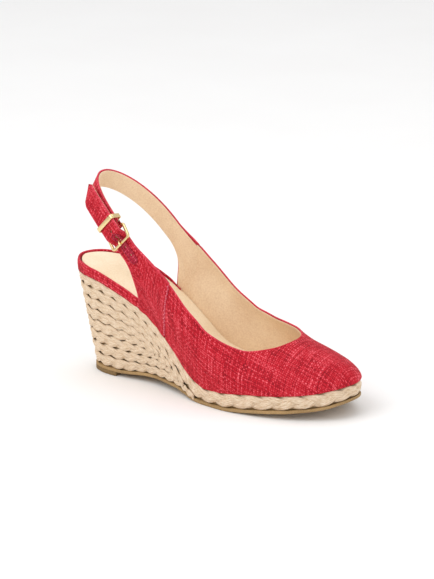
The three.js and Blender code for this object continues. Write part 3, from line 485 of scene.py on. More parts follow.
def plait(name, row, closed, material):
    """Three strands on one track. With t growing by a full turn in each pitch, strand k lies at
    sin(t + k/3 turn) across the row and at sin of twice that in and out, and its section is an
    ellipse whose surface is roped by four lobes that twist along it."""
    centre, up, height = row_track(row, closed)
    if closed:
        centre, up, height = centre[:-1], up[:-1], height[:-1]
        ahead = np.roll(centre, -1, 0) - np.roll(centre, 1, 0)
    else:
        ahead = np.gradient(centre, axis=0)
    out = unit(np.cross(ahead, up))
    out *= np.sign(-out[len(out) // 2, 0])
    height = np.maximum(height, STRAND_LEAST)
    turns = np.cumsum(STRAND_STEP / (PLAIT_PITCH * height))
    if closed:
        turns *= round(turns[-1]) / turns[-1]
    swing, half, flat = STRAND_SWING, STRAND_HALF, STRAND_THICK
    if closed:
        swing, half, flat = TOP_SWING, TOP_STRAND_HALF, TOP_THICK
    rows = len(centre)
    angle = np.arange(STRAND_SIDES) / STRAND_SIDES * 2 * np.pi
    points, faces, uvs, lays = [], [], [], []
    for k in range(3):
        t = 2 * np.pi * (turns + k / 3)
        tall = height[:, None]
        dip = STRAND_DIP * np.sin(2 * t)[:, None]
        middle = centre + up * swing * np.sin(t)[:, None] * tall + out * dip * tall
        if closed:
            way = unit(np.roll(middle, -1, 0) - np.roll(middle, 1, 0))
        else:
            way = unit(np.gradient(middle, axis=0))
        broad = unit(np.cross(out, way))
        proud = np.cross(way, broad)
        twist = 2 * np.pi * np.arange(rows)[:, None] * STRAND_STEP / ROPE_LAY
        rope = 1 + ROPE_RELIEF * np.cos(ROPE_LOBES * angle[None] + twist)
        wide, thick = half * tall * rope * np.cos(angle), flat * tall * rope * np.sin(angle)
        points.append(middle[:, None] + broad[:, None] * wide[..., None] + proud[:, None] * thick[..., None])
        found, ci, cj = grid_faces(rows, STRAND_SIDES, round_rows=closed, round_columns=True)
        faces += (found + k * rows * STRAND_SIDES).tolist()
        uvs.append(np.stack([ci * STRAND_STEP, cj / STRAND_SIDES], -1).reshape(-1, 2))
        lay = (dip * tall + thick) / (tall * (STRAND_DIP + STRAND_THICK))
        lays.append(lay.ravel())
        if not closed:
            faces += end_caps(rows, STRAND_SIDES, k * rows * STRAND_SIDES)
            uvs.append(np.zeros((2 * STRAND_SIDES, 2)))
    piece = make_piece(name, np.stack(points), faces, material, uv=np.concatenate(uvs))
    # lay is how far out each point lies; the jute material paints shade where it is low
    mark_points(piece, "lay", np.concatenate(lays))
    return piece


def jute_fibre(name, light, dark, gap):
    """Twisted jute: straw-coloured fibres a third of a millimetre wide that wind round the strand,
    and painted shade, a darker brown, where a strand dips behind the others."""
    material, tree, shader = new_material(name, 0.88)
    uv = add_node(tree, "ShaderNodeUVMap", uv_map="cloth").outputs[0]
    # the strand's V goes once round it, and 4 x 2 pi / 10 gives four lobes; U turns one lobe in 9 mm
    twist = add_node(tree, "ShaderNodeMapping", {"Vector": uv, "Scale": (0.0698, 2.513, 1.0)})
    rope = add_node(tree, "ShaderNodeTexWave", {
        "Vector": twist.outputs[0], "Scale": 1.0, "Distortion": 0.8, "Detail": 2.0,
    }, bands_direction="DIAGONAL")
    along = add_node(tree, "ShaderNodeMapping", {
        "Vector": uv, "Scale": (0.22, 26.0, 1.0), "Rotation": (0, 0, 0.03)})
    fibre = add_node(tree, "ShaderNodeTexNoise", {
        "Vector": along.outputs[0], "Scale": 1.0, "Detail": 5.0, "Roughness": 0.7})
    lay = add_node(tree, "ShaderNodeAttribute", attribute_name="lay").outputs["Fac"]
    # painted shade: the gap colour is mixed in where the lay attribute says a strand lies sunk behind the
    # others
    painted_gap_shade = add_node(tree, "ShaderNodeMapRange", {"Value": lay, "From Min": 0.25, "From Max": -0.25})
    tone = add_node(tree, "ShaderNodeMapRange", {
        "Value": fibre.outputs["Fac"], "From Min": 0.36, "From Max": 0.62})
    straw = add_node(tree, "ShaderNodeMix", {
        "Factor": tone.outputs[0], 6: linear(dark), 7: linear(light)}, data_type="RGBA")
    colour = add_node(tree, "ShaderNodeMix", {
        "Factor": painted_gap_shade.outputs[0], 6: straw.outputs[2], 7: linear(gap)}, data_type="RGBA")
    height = add_node(tree, "ShaderNodeMath", {
        0: rope.outputs["Fac"], 1: 0.5, 2: fibre.outputs["Fac"]}, operation="MULTIPLY_ADD")
    bump = add_node(tree, "ShaderNodeBump", {
        "Height": height.outputs[0], "Strength": 0.55, "Distance": 0.0006})
    tree.links.new(colour.outputs[2], shader.inputs["Base Color"])
    tree.links.new(bump.outputs[0], shader.inputs["Normal"])
    return material


# the third colour is painted shade, the brown laid into the gaps between strands
jute = jute_fibre("twisted_jute", "#efdcc4", "#bf9e76", "#7a6042")
for row in range(len(ROW_ENDS)):
    braid = plait(f"jute_braid_{row + 1}", row, False, jute)
    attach(braid, "shoe")
    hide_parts(f"jute_row_{row + 1}")
top_braid = plait("jute_braid_top", len(ROW_ENDS), True, jute)
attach(top_braid, "shoe")
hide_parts("jute_welt")


# ---- Wrap behind the braids ------------------------------------------------------------------
# A strip of coarse jute canvas glued round the core, which the braids are stitched to. It only
# shows between them, and its colour is darkened there as painted shade.
WRAP_DEPTH, WRAP_BACK = 2.9, 9.0


def wrap_band(name, outer, inner, material):
    """A closed band round the sole: at each place its section is the wall between two depths."""
    angle = np.linspace(-np.pi, np.pi, 401)[:-1]
    side, s = np.sign(angle + 1e-9), (1 - np.cos(angle)) / 2
    section = [(0.0, inner), *((share, outer) for share in (0.02, 0.25, 0.5, 0.75, 0.97)), (0.985, inner)]
    points = np.stack([wall_point(side, s, share + 0 * s, depth) for share, depth in section], 1)
    faces, _, _ = grid_faces(*points.shape[:2], round_rows=True, round_columns=True)
    return make_piece(name, points, faces, material)


# plain-woven canvas, its tones darkened as painted shade for the gaps between the braids, threads about 2 mm
# apart
canvas = mottled("jute_canvas_in_painted_shade", "#7d6340", "#b8986a", 2, detail=3.0, dent=0.6, dent_mm=0.6, roughness=0.95)
wrap = wrap_band("braid_backing", WRAP_DEPTH, WRAP_BACK, canvas)
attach(wrap, "shoe")


# ---- Padded sock ---------------------------------------------------------------------------
# A cream microfibre sock over thin foam, bonded to the insole board. The foam swells it a
# little between its glued edges, and it cups up at the back of the heel.
INSOLE_STACK, BACK_RISE, SOCK_THICK, FOAM_THICK = 6.4, 1.7, 1.0, 1.7
SOCK_SWELL_CAP, SWELL_PRESSURE, SWELL_FRAMES = 0.9, 4, 20
SOCK_EDGE_ROUND, SOCK_LAID_LOW = 1.0, 0.5
SOCK_INSET, SOCK_TOE_INSET = 3.5, 12.0


def foot_top(s):
    """Height of the sock's upper face."""
    return jute_top(s) + INSOLE_STACK + BACK_RISE * (1 - smooth(s, 0, 0.12))


def inset_half(side, s, inset):
    """Half width at length s of the outline shrunk by inset."""
    local = np.clip((s * LENGTH - inset) / (LENGTH - 2 * inset), 0, 1)
    return half_width(side, local) * (1 - inset / full_half(s))


def insole_half(side, s):
    """Half width of the sock: inside the rand at the heel, inside the lining further forward."""
    sides = SOCK_INSET - 0.2 * smooth(s, 0.24, 0.3)
    return inset_half(side, s, sides + (SOCK_TOE_INSET - sides) * smooth(s, 0.7, 0.95))


def microfibre(name, dark, light):
    """Brushed microfibre: matt, with a short nap that mottles it at about 1 mm."""
    return mottled(name, dark, light, 1.1, detail=5.0, dent=0.25, dent_mm=0.3, roughness=0.82,
                   cloud_mm=30, spread=0.3, Sheen_Weight=0.12, Sheen_Roughness=0.5)


def swell(piece, top, cap):
    """Blows the foam up by Cloth with pressure, everything below its upper face held, and caps how
    far a point may rise."""
    rest = np.zeros(len(piece.data.vertices) * 3)
    piece.data.vertices.foreach_get("co", rest)
    rest = rest.reshape(-1, 3)
    s = (rest[:, 0] * 1000 - HEEL_BACK[0]) / LENGTH
    held = piece.vertex_groups.new(name="glued")
    for index in np.nonzero(rest[:, 2] * 1000 < top(s) - 0.25)[0]:
        held.add([int(index)], 1.0, "REPLACE")
    cloth = piece.modifiers.new("swell", "CLOTH")
    cloth.settings.quality = 5
    cloth.settings.use_pressure = True
    cloth.settings.uniform_pressure_force = SWELL_PRESSURE
    cloth.settings.vertex_group_mass = "glued"
    cloth.settings.effector_weights.gravity = 0
    cloth.point_cache.frame_start, cloth.point_cache.frame_end = 1, SWELL_FRAMES
    for number in range(1, SWELL_FRAMES + 1):
        bpy.context.scene.frame_set(number)
    graph = bpy.context.evaluated_depsgraph_get()
    moved = np.zeros(len(rest) * 3)
    piece.evaluated_get(graph).data.vertices.foreach_get("co", moved)
    piece.modifiers.remove(cloth)
    shift = moved.reshape(-1, 3) - rest
    size = np.linalg.norm(shift, axis=1, keepdims=True)
    shift *= np.minimum(1, cap / 1000 / np.maximum(size, 1e-9))
    piece.data.vertices.foreach_set("co", (rest + shift).ravel())
    piece.data.update()
    bpy.context.scene.frame_set(1)


def sock_top(s):
    """Height of the sock before it swells."""
    return foot_top(s) - SOCK_LAID_LOW


sock = slab("padded_sock", SOCK_INSET / LENGTH, 1 - SOCK_TOE_INSET / LENGTH, insole_half,
            lambda s: foot_top(s) - SOCK_THICK - FOAM_THICK - JOIN_GAP, sock_top, SOCK_EDGE_ROUND,
            microfibre("cream_microfibre", "#e6cda8", "#f6e3c6"))
swell(sock, sock_top, SOCK_SWELL_CAP)
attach(sock, "shoe")
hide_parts("sock_lining", "insole_foam")


# ---- Woven textile ---------------------------------------------------------------------------
# Slubby raffia cloth in plain weave, dyed red. Its flat yarns take the dye unevenly, so single
# yarns run paler or darker for a few centimetres in both directions.
YARN_PITCH = 1.45
FAR_FROM_RIM = 99.0


def raffia_weave(name, deep="#7c0315", red="#c00b22", pale="#f8707c"):
    """Plain weave: the product of a sine across each set of yarns gives the height, its sign says
    which set is on top, and noise drawn out along each set gives its slubs. The height also lightens
    each yarn's crown as a painted highlight and darkens the hollows between yarns as painted shade,
    and an edge attribute in millimetres lightens the folded rim as a painted highlight. The yarns are
    drawn 1.45 mm apart, as coarse as shows."""
    material, tree, shader = new_material(name, 0.75, Specular_IOR_Level=0.25)
    uv = add_node(tree, "ShaderNodeUVMap", uv_map="cloth").outputs[0]
    drift = add_node(tree, "ShaderNodeTexNoise", {"Vector": uv, "Scale": 0.09, "Detail": 2.0})
    bent = add_node(tree, "ShaderNodeVectorMath", {
        0: drift.outputs["Color"], "Scale": 2.2}, operation="SCALE")
    moved = add_node(tree, "ShaderNodeVectorMath", {0: uv, 1: bent.outputs[0]}, operation="ADD")
    split = add_node(tree, "ShaderNodeSeparateXYZ", {0: moved.outputs[0]})
    waves = []
    for axis in (0, 1):
        angle = add_node(tree, "ShaderNodeMath", {
            0: split.outputs[axis], 1: math.pi / YARN_PITCH}, operation="MULTIPLY")
        waves.append(add_node(tree, "ShaderNodeMath", {0: angle.outputs[0]}, operation="SINE").outputs[0])
    product = add_node(tree, "ShaderNodeMath", {0: waves[0], 1: waves[1]}, operation="MULTIPLY").outputs[0]
    crown = add_node(tree, "ShaderNodeMath", {0: product}, operation="ABSOLUTE").outputs[0]
    over = add_node(tree, "ShaderNodeMath", {0: product, 1: 0.0}, operation="GREATER_THAN").outputs[0]
    slubs = []
    for scale in ((0.03, 0.62, 1.0), (0.62, 0.03, 1.0)):
        drawn = add_node(tree, "ShaderNodeMapping", {"Vector": moved.outputs[0], "Scale": scale})
        slubs.append(add_node(tree, "ShaderNodeTexNoise", {
            "Vector": drawn.outputs[0], "Scale": 1.0, "Detail": 3.0, "Roughness": 0.6}).outputs["Fac"])
    yarn = add_node(tree, "ShaderNodeMix", {0: over, 2: slubs[0], 3: slubs[1]}).outputs[0]
    # the tone is the dye's slubs plus the yarn's crown: a painted highlight on the yarn tops and painted
    # shade between them
    dye_and_crown_highlight = add_node(tree, "ShaderNodeMath", {0: crown, 1: 0.16, 2: yarn}, operation="MULTIPLY_ADD").outputs[0]
    # deep red to pale pink: the pale end comes from pale slubs and from the painted crown highlight
    ramp = add_node(tree, "ShaderNodeValToRGB", {0: dye_and_crown_highlight})
    ramp.color_ramp.elements[0].position, ramp.color_ramp.elements[0].color = 0.38, linear(deep)
    ramp.color_ramp.elements[1].position, ramp.color_ramp.elements[1].color = 0.86, linear(pale)
    middle = ramp.color_ramp.elements.new(0.58)
    middle.color = linear(red)
    # painted highlight: the cloth turns pinker within about 1.6 mm of a folded rim, as where the fold catches
    # the light
    edge = add_node(tree, "ShaderNodeAttribute", attribute_name="edge").outputs["Fac"]
    rim_highlight = add_node(tree, "ShaderNodeMapRange", {
        "Value": edge, "From Min": 1.6, "From Max": 0.4, "To Max": 0.35})
    colour = add_node(tree, "ShaderNodeMix", {
        "Factor": rim_highlight.outputs[0], 6: ramp.outputs[0], 7: linear("#f0586f")}, data_type="RGBA")
    fold = add_node(tree, "ShaderNodeMapRange", {
        "Value": edge, "From Min": 3.4, "From Max": 4.2, "To Min": 0.8, "To Max": 0.0})
    height = add_node(tree, "ShaderNodeMath", {0: fold.outputs[0], 1: crown}, operation="ADD")
    bump = add_node(tree, "ShaderNodeBump", {
        "Height": height.outputs[0], "Strength": 0.5, "Distance": 0.0004})
    tree.links.new(colour.outputs[2], shader.inputs["Base Color"])
    tree.links.new(bump.outputs[0], shader.inputs["Normal"])
    return material


raffia = raffia_weave("red_raffia_weave")
lining_cloth = microfibre("beige_lining_cloth", "#d9b894", "#efd6b4")


def grid_lengths(grid):
    """Distances in millimetres along both directions of a grid of points, as UVs."""
    u, v = walked(grid).mean(1, keepdims=True) + 0 * grid[..., 0], walked(grid, 1)
    return np.stack([u, v - v[:, -1:] / 2], -1)


def thicken(piece, thick, even):
    """Gives a sheet its thickness inwards and rounds its edges."""
    wall = piece.modifiers.new("thickness", "SOLIDIFY")
    wall.thickness = thick / 1000
    wall.offset = -1
    wall.use_even_offset = even
    finer = piece.modifiers.new("finer", "SUBSURF")
    finer.levels = finer.render_levels = 1


def cloth_sheet(name, grid, outside, thick, material, edge=None):
    """A sheet from a grid of points on its outer face, thickened inwards. outside is a direction
    that its middle faces. edge is the distance from the folded rim, in millimetres."""
    faces, ci, cj = grid_faces(*grid.shape[:2])
    i, j = grid.shape[0] // 2, grid.shape[1] // 2
    normal = np.cross(grid[i, j] - grid[i - 1, j], grid[i, j] - grid[i, j - 1])
    if np.dot(normal, outside) < 0:
        faces, ci, cj = faces[:, ::-1], ci[:, ::-1], cj[:, ::-1]
    piece = make_piece(name, grid, faces, material, uv=grid_lengths(grid)[ci, cj], outward=False)
    mark_points(piece, "edge", np.full(grid.shape[:2], FAR_FROM_RIM) if edge is None else edge)
    thicken(piece, thick, even=True)
    return piece


def offset_grid(grid, outside, depth):
    """The grid moved inwards by depth along its normals."""
    normal = unit(np.cross(np.gradient(grid, axis=0), np.gradient(grid, axis=1)))
    i, j = grid.shape[0] // 2, grid.shape[1] // 2
    normal *= np.sign(normal[i, j] @ np.array(outside, float))
    return grid - normal * np.asarray(depth)[..., None]


# ---- Rand ----------------------------------------------------------------------------------
# A strip of the same cloth folded over a cord and stuck round the edge of the heel seat. Its
# two ends go in under the quarters.
RAND_END, RAND_INSET, RAND_PROUD, RAND_TUCK = 0.302, 0.6, 0.5, 2.2
RAND_RING, RAND_STEP = 0.86, 1.3  # millimetres of cloth from ring to ring, and round each ring
# depth inwards and share of the height of each corner, and its distance from the folded edge
RAND_SECTION = [(0.15, 0.0), (0, 0.2), (-0.25, 0.45), (-0.2, 0.7), (0.1, 0.88), (0.5, 0.97), (1.0, 1.0),
                (1.5, 0.97), (1.9, 0.88), (2.0, 0.6), (2.0, 0.3), (2.0, 0.0)]
RAND_EDGE = [9, 9, 9, 3, 1.5, 0.9, 0.7, 1, 2, 9, 9, 9]


def rand_grid():
    """A closed section of twelve points carried round the heel: a strip with a round top edge."""
    q = np.linspace(-1, 1, 181)
    side, s = np.sign(q + 1e-9), RAND_END * q * q
    tucked = RAND_TUCK * smooth(s, 0.262, 0.3)
    rings = []
    for depth, level in RAND_SECTION:
        x, y = plan_point(side, s, RAND_INSET + depth + tucked)
        low, high = jute_top(x / LENGTH) - 0.4, foot_top(x / LENGTH) + RAND_PROUD
        rings.append(np.stack([x, y, low + (high - low) * level], -1))
    return np.stack(rings, 1)


rand_points = rand_grid()
rand_faces, rand_i, rand_j = grid_faces(*rand_points.shape[:2], round_columns=True)
rand_rows, rand_columns = rand_points.shape[:2]
rand_uv = np.stack([rand_i * RAND_RING, rand_j * RAND_STEP], -1).reshape(-1, 2)
rand = make_piece("heel_rand", rand_points, [*rand_faces.tolist(), *end_caps(rand_rows, rand_columns)],
                  raffia, uv=np.concatenate([rand_uv, np.zeros((2 * rand_columns, 2))]))
mark_points(rand, "edge", np.tile(RAND_EDGE, rand_rows))
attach(rand, "shoe")
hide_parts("rand")


# ---- Vamp ----------------------------------------------------------------------------------
# The front of the upper: one piece of cloth lasted over the toes, with a folded topline round
# the throat. It is lined with beige cloth and held to the quarters by a seam on each side.
UPPER_INSET, UPPER_THICK, LINING_THICK, UPPER_BULGE = 1.0, 1.3, 0.8, 3.0
THROAT = 0.781
SEAM = {-1: (0.384, 0.414), 1: (0.335, 0.352)}
TOP_RISE = {
    -1: [[0.2, 62], [0.254, 56], [0.318, 50.4], [0.381, 50], [0.445, 50.3], [0.508, 48], [0.572, 41],
         [0.636, 34.5], [0.7, 29.4], [0.75, 29.8], [THROAT, 31.4]],
    1: [[0.2, 60], [0.254, 53.6], [0.318, 48.9], [0.381, 47.9], [0.445, 46.9], [0.508, 44.1], [0.572, 39.4],
        [0.636, 34.8], [0.7, 32.2], [0.75, 31.6], [THROAT, 31.4]],
}
TOP_HALF = {
    -1: [[0.2, 30.2], [0.254, 30.4], [0.318, 31.2], [0.381, 32.2], [0.445, 34.3], [0.508, 36.4],
         [0.572, 37.4], [0.636, 36.2], [0.7, 30.8], [0.754, 18.5], [THROAT, 0]],
    1: [[0.2, 29.4], [0.254, 29.6], [0.318, 30.2], [0.381, 31.2], [0.445, 33.3], [0.508, 35.4], [0.572, 36.4],
        [0.636, 35.2], [0.7, 29.8], [0.754, 18], [THROAT, 0]],
}
RIDGE_BACK = [[0.55, 56], [0.6, 50.5], [0.65, 45.2], [0.7, 39.8], [0.75, 34.6]]
RIDGE_RISE = [[THROAT, 31.4], [0.826, 27.3], [0.873, 23], [0.919, 18.5], [0.949, 14.2], [0.975, 9.3],
              [0.99, 5.2], [0.997, 2.8], [1, 0.9]]
UPPER_START = 0.81  # height over the jute at which the upper's face starts
ARCH_PULL = 0.42  # share of the span at which the arch's two middle corners stand
VAMP_TUCK = 1.6  # how far the cloth turns down behind the braid
TOPLINE_LEAN = 78  # degrees from level at which the arch meets the topline at the back
SEAM_GAP, LINING_LAP, LINING_GAP = 0.15, 1.4, 0.12


def cubic(first, second, third, last, t):
    """A cubic curve: four corners weighted by (1-t)^3, 3t(1-t)^2, 3t^2(1-t) and t^3."""
    return (1 - t) ** 3 * first + 3 * t * (1 - t) ** 2 * second + 3 * t**2 * (1 - t) * third + t**3 * last


def topline_half(side, s):
    """Half width of the topline, and none in front of the throat. Its square is the curve, so that
    it closes round."""
    squares = [[at, width * width] for at, width in TOP_HALF[side]]
    return np.where(s < THROAT, np.sqrt(np.maximum(curve(squares, s), 0)), 0)


def upper_start(side, s):
    """Distance from the middle, height and outward bulge where the upper leaves the jute."""
    edge = half_width(side, s) * (1 - UPPER_INSET / full_half(s))
    return edge, jute_top(s) + UPPER_START, UPPER_BULGE * smooth(1 - s, 0, 0.3)


def upper_point(side, s, share):
    """A point of the upper's outer face on one side: a cubic arch from the jute edge at share 0 to
    the topline, or over the toes to the ridge, at share 1."""
    edge, low, bulge = upper_start(side, s)
    half = topline_half(side, s)
    high = jute_top(s) + np.where(s < THROAT, curve(TOP_RISE[side], s), curve(RIDGE_RISE, s))
    lean = np.radians(TOPLINE_LEAN * (1 - smooth(s, 0.5, THROAT)))
    pull = ARCH_PULL * np.hypot(edge - half, high - low)
    y = cubic(edge, edge + bulge, half + np.cos(lean) * pull, half, share)
    z = cubic(low, low + ARCH_PULL * (high - low), high - np.sin(lean) * pull, high, share)
    return np.stack([s * LENGTH + 0 * y, side * y, z], -1)


def lasted_arch(side, s, share):
    """The upper near the throat, cut from the cubic arch that goes right over the foot there. The
    arch is followed to where halving finds the topline's half width, and its edge is then brought
    to the topline's height by the cube of the share."""
    edge, low, bulge = upper_start(side, s)
    half = topline_half(side, s)
    high = jute_top(s) + curve(RIDGE_BACK + RIDGE_RISE, s)
    across = (edge, edge + bulge, ARCH_PULL * np.hypot(edge, high - low), 0)
    levels = (low, low + ARCH_PULL * (high - low), high, high)
    near, far = 0 * s, 0 * s + 1
    for _ in range(30):
        middle = (near + far) / 2
        outside = cubic(*across, middle) > half
        near, far = np.where(outside, middle, near), np.where(outside, far, middle)
    miss = np.where(s < THROAT, jute_top(s) + curve(TOP_RISE[side], s) - cubic(*levels, near), 0)
    return np.stack([s * LENGTH, side * cubic(*across, near * share),
                     cubic(*levels, near * share) + miss * share**3], -1)


def vamp_half(side, start_gap, top_trim):
    """One side of the vamp as a grid, from the side seam to the toe and from the jute to the top.
    Its first column turns in behind the braid, and its last row closes on the toe's tip."""
    share = np.linspace(0, 1, 30)[None] * (1 - top_trim)
    seam = SEAM[side][0] + (SEAM[side][1] - SEAM[side][0]) * share + start_gap / LENGTH
    q = np.linspace(1, 0, 46)[:, None]
    wing = THROAT - (THROAT - seam) * q * q
    t = np.linspace(0, 1, 40)[1:, None]
    toe = THROAT + (1 - THROAT) * np.sin(t * np.pi / 2) + 0 * share
    s = np.concatenate([wing, toe])
    lasted = smooth(s, 0.6, 0.72)[..., None]
    grid = upper_point(side, s, share + 0 * s) * (1 - lasted) + lasted_arch(side, s, share + 0 * s) * lasted
    grid[..., 0] -= UPPER_INSET * smooth(s, 0.85, 1)
    tuck = grid[:, :1] * np.array([1, 0.985, 1])
    tuck[..., 0] -= 0.6 * smooth(s[:, :1], 0.9, 1)
    tuck[..., 2] -= VAMP_TUCK
    grid = np.concatenate([tuck, grid], 1)
    grid[-1, :, 1] = 0
    return grid


def vamp_sheet(name, depth, thick, material, lap=0.0):
    """Both sides of the vamp in one sheet, joined along the ridge over the toes. lap is how far it
    runs on behind the side seams."""
    halves, uvs, edges = [], [], []
    for side in (-1, 1):
        grid = vamp_half(side, SEAM_GAP - lap, 0.012 if lap else 0.0)
        if depth:
            s = grid[..., 0] / LENGTH
            grid = offset_grid(grid, (0, side, 0.2), depth + 0.95 * smooth(s, 0.8, 0.86))
            ridge = s[:, -1] >= THROAT - 0.004
            grid[ridge, -1, 1] = 0
            grid[-1, :, 1] = 0
        to_top = walked(grid, 1)
        to_top = to_top[:, -1:] - to_top
        uvs.append(np.stack([grid[..., 0], side * (to_top + np.abs(grid[:, -1:, 1]))], -1))
        edges.append(to_top + 60 * smooth(grid[..., 0] / LENGTH, THROAT, THROAT + 0.03))
        halves.append(grid)
    rows, columns = halves[0].shape[:2]
    faces, ci, cj = grid_faces(rows, columns)
    flipped = faces[:, ::-1] + rows * columns
    uv = np.concatenate([uvs[0][ci, cj], uvs[1][ci[:, ::-1], cj[:, ::-1]]])
    piece = make_piece(name, np.stack(halves), np.concatenate([faces, flipped]).tolist(), material,
                       uv=uv, outward=False)
    mark_points(piece, "edge", np.stack(edges))
    work = bmesh.new()
    work.from_mesh(piece.data)
    bmesh.ops.remove_doubles(work, verts=work.verts, dist=2e-5)
    bmesh.ops.recalc_face_normals(work, faces=work.faces)
    front = max(work.faces, key=lambda f: f.calc_center_median().z)
    if front.normal.z < 0:
        bmesh.ops.reverse_faces(work, faces=work.faces)
    work.to_mesh(piece.data)
    work.free()
    thicken(piece, thick, even=False)
    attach(piece, "shoe")
    return piece


vamp = vamp_sheet("vamp_cloth", 0, UPPER_THICK, raffia)
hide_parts("vamp")
vamp_lining = vamp_sheet("vamp_lining_cloth", UPPER_THICK + LINING_GAP, LINING_THICK, lining_cloth,
                         lap=LINING_LAP)
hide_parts("vamp_lining")


# ---- Quarters, sling and billet ----------------------------------------------------------------
# Each side of the upper runs up into a strap. The inner one goes round the heel as the sling,
# the outer one is the billet with its punched holes. Each is one run of cloth, folded at both
# edges and lined, and it bends where it leaves the quarter.
PIVOT = np.array([0.294 * LENGTH, jute_top(0.294) + 36.3])
STRAP_TILT, STRAP_BACK, STRAP_ARCH, STRAP_TWIST = 137.8, 16.0, 2.3, 16.0
STRAP_SQUARE, STRAP_HALF, SLING_WIDTH, BILLET_WIDTH = 2.6, 30.2, 15.6, 15.0
HEEL_BAR_AT, TAIL_AT, KEEPER_AT = 29.7, 64.6, 36.5
BILLET_LIFT, CLIMB_START, CLIMB_END, TAIL_SPRING, TAIL_SLANT = 4.15, 20.6, 27.35, 0.0045, 6.5
STRAP_FROM = 12.0  # along the strap, where the quarter has become a plain strap
QUARTER_BACK = 0.2865  # share of the length where the quarter's rear edge meets the jute
HOLE_AT, HOLE_PITCH, HOLE_SIDES = 22.4, 7.1, 16
HOLE_RADIUS, SLOT_RADIUS, SLOT_APART, SLOT_SHIFT = 1.1, 1.0, 2.05, 0.5
LAYER_TOP = 0.8
LEAN = np.array([math.cos(math.radians(STRAP_TILT)), math.sin(math.radians(STRAP_TILT))])
REACH = (PIVOT[0] - STRAP_BACK) / -LEAN[0]


def strap_point(angle):
    """The strap's centre line round the heel: along the lean by REACH sin(angle), arched a little,
    with a half width that falls as a squared-off ellipse. Angle 0 is the outer side, pi the inner."""
    along = REACH * np.sin(angle)
    lift = STRAP_ARCH * np.sin(np.pi * along / REACH)
    half = STRAP_HALF * np.sqrt(np.maximum(0, 1 - np.abs(np.sin(angle)) ** STRAP_SQUARE))
    return np.stack([PIVOT[0] + LEAN[0] * along + LEAN[1] * lift, -np.sign(np.cos(angle)) * half,
                     PIVOT[1] + LEAN[1] * along - LEAN[0] * lift], -1)


def strap_angle(along):
    """The angle at a distance along the lean, on the outer side."""
    return np.arcsin(np.asarray(along) / REACH)


def strap_frame(angle):
    """Centre, direction, width direction and outward direction of the strap."""
    centre = strap_point(angle)
    along = unit(strap_point(angle + 0.01) - strap_point(angle - 0.01))
    upright = np.radians(STRAP_TILT - 90 + STRAP_TWIST * np.sin(angle) ** 2)
    across = np.stack([np.cos(upright), 0 * upright, np.sin(upright)], -1)
    across = unit(across - along * (across * along).sum(-1, keepdims=True))
    return centre, along, across, unit(np.cross(across, along))


def strap_surface(angle, across, out):
    """Points of the strap at the given distances across it and outwards."""
    centre, _, wide, up = strap_frame(angle)
    return centre + wide * np.asarray(across)[..., None] + up * np.asarray(out)[..., None]


def on_upper(side, x, z):
    """The point of the upper's outer face that is seen at x and z from the side, found on a table
    of its arch there."""
    share = np.linspace(0, 1, 80)
    arch = upper_point(side, (x / LENGTH)[..., None], share)
    k = np.clip((arch[..., 2] < z[..., None]).sum(-1) - 1, 0, 78)[..., None]
    low = np.take_along_axis(arch[..., 2], k, -1)[..., 0]
    high = np.take_along_axis(arch[..., 2], k + 1, -1)[..., 0]
    t = np.clip((z - low) / np.maximum(high - low, 1e-6), 0, 1)
    y_low = np.take_along_axis(arch[..., 1], k, -1)[..., 0]
    y_high = np.take_along_axis(arch[..., 1], k + 1, -1)[..., 0]
    return y_low * (1 - t) + y_high * t


def quarter_grid(side, width, rows=64, columns=31):
    """The quarter as a Coons patch in the side plane, laid on the upper's arch: it starts along the
    jute and the side seam, and narrows between its rear edge and the topline to the strap."""
    u, v = np.linspace(0, 1, columns), np.linspace(0, 1, rows)
    seam_low, seam_high = (at - SEAM_GAP / LENGTH for at in SEAM[side])
    corner = 0.3
    foot = np.stack([np.interp(u, [0, corner, 1], [QUARTER_BACK, seam_low, seam_high]),
                     np.interp(u, [0, corner, 1], [0, 0, 1])], 1)
    start = upper_point(side, foot[:, 0], foot[:, 1])[:, [0, 2]]
    ends = strap_point(strap_angle(STRAP_FROM))[[0, 2]]
    wide = np.array([LEAN[1], -LEAN[0]])
    end = ends + wide * (np.linspace(-0.5, 0.5, columns) * width)[:, None]
    rear = cubic(start[0], start[0] + [0.6, 13], end[0] - LEAN * 13, end[0], v[:, None])
    top = cubic(start[-1], start[-1] + LEAN * 11, end[-1] - LEAN * 11, end[-1], v[:, None])
    uu, vv = u[None, :, None], v[:, None, None]
    flat = (1 - vv) * start[None] + vv * end[None] + (1 - uu) * rear[:, None] + uu * top[:, None]
    flat -= (1 - vv) * ((1 - uu) * start[0] + uu * start[-1]) + vv * ((1 - uu) * end[0] + uu * end[-1])
    x, z = flat[..., 0], flat[..., 1]
    along = np.clip((x - PIVOT[0]) * LEAN[0] + (z - PIVOT[1]) * LEAN[1], 0, REACH)
    strap_y = side * (STRAP_HALF * np.sqrt(1 - (along / REACH) ** STRAP_SQUARE) + LAYER_TOP)
    share = smooth(v, 0.25, 0.8)[:, None]
    y = on_upper(side, x, z) * (1 - share) + strap_y * share
    return np.stack([x, y, z], -1)


def billet_lift(along):
    """The billet climbs over the heel bar inside the buckle, and its tail springs away from the
    sling beyond the keeper."""
    past_keeper = np.maximum(0, along - KEEPER_AT - 4)
    return BILLET_LIFT * smooth(along, CLIMB_START, CLIMB_END) + TAIL_SPRING * past_keeper**2


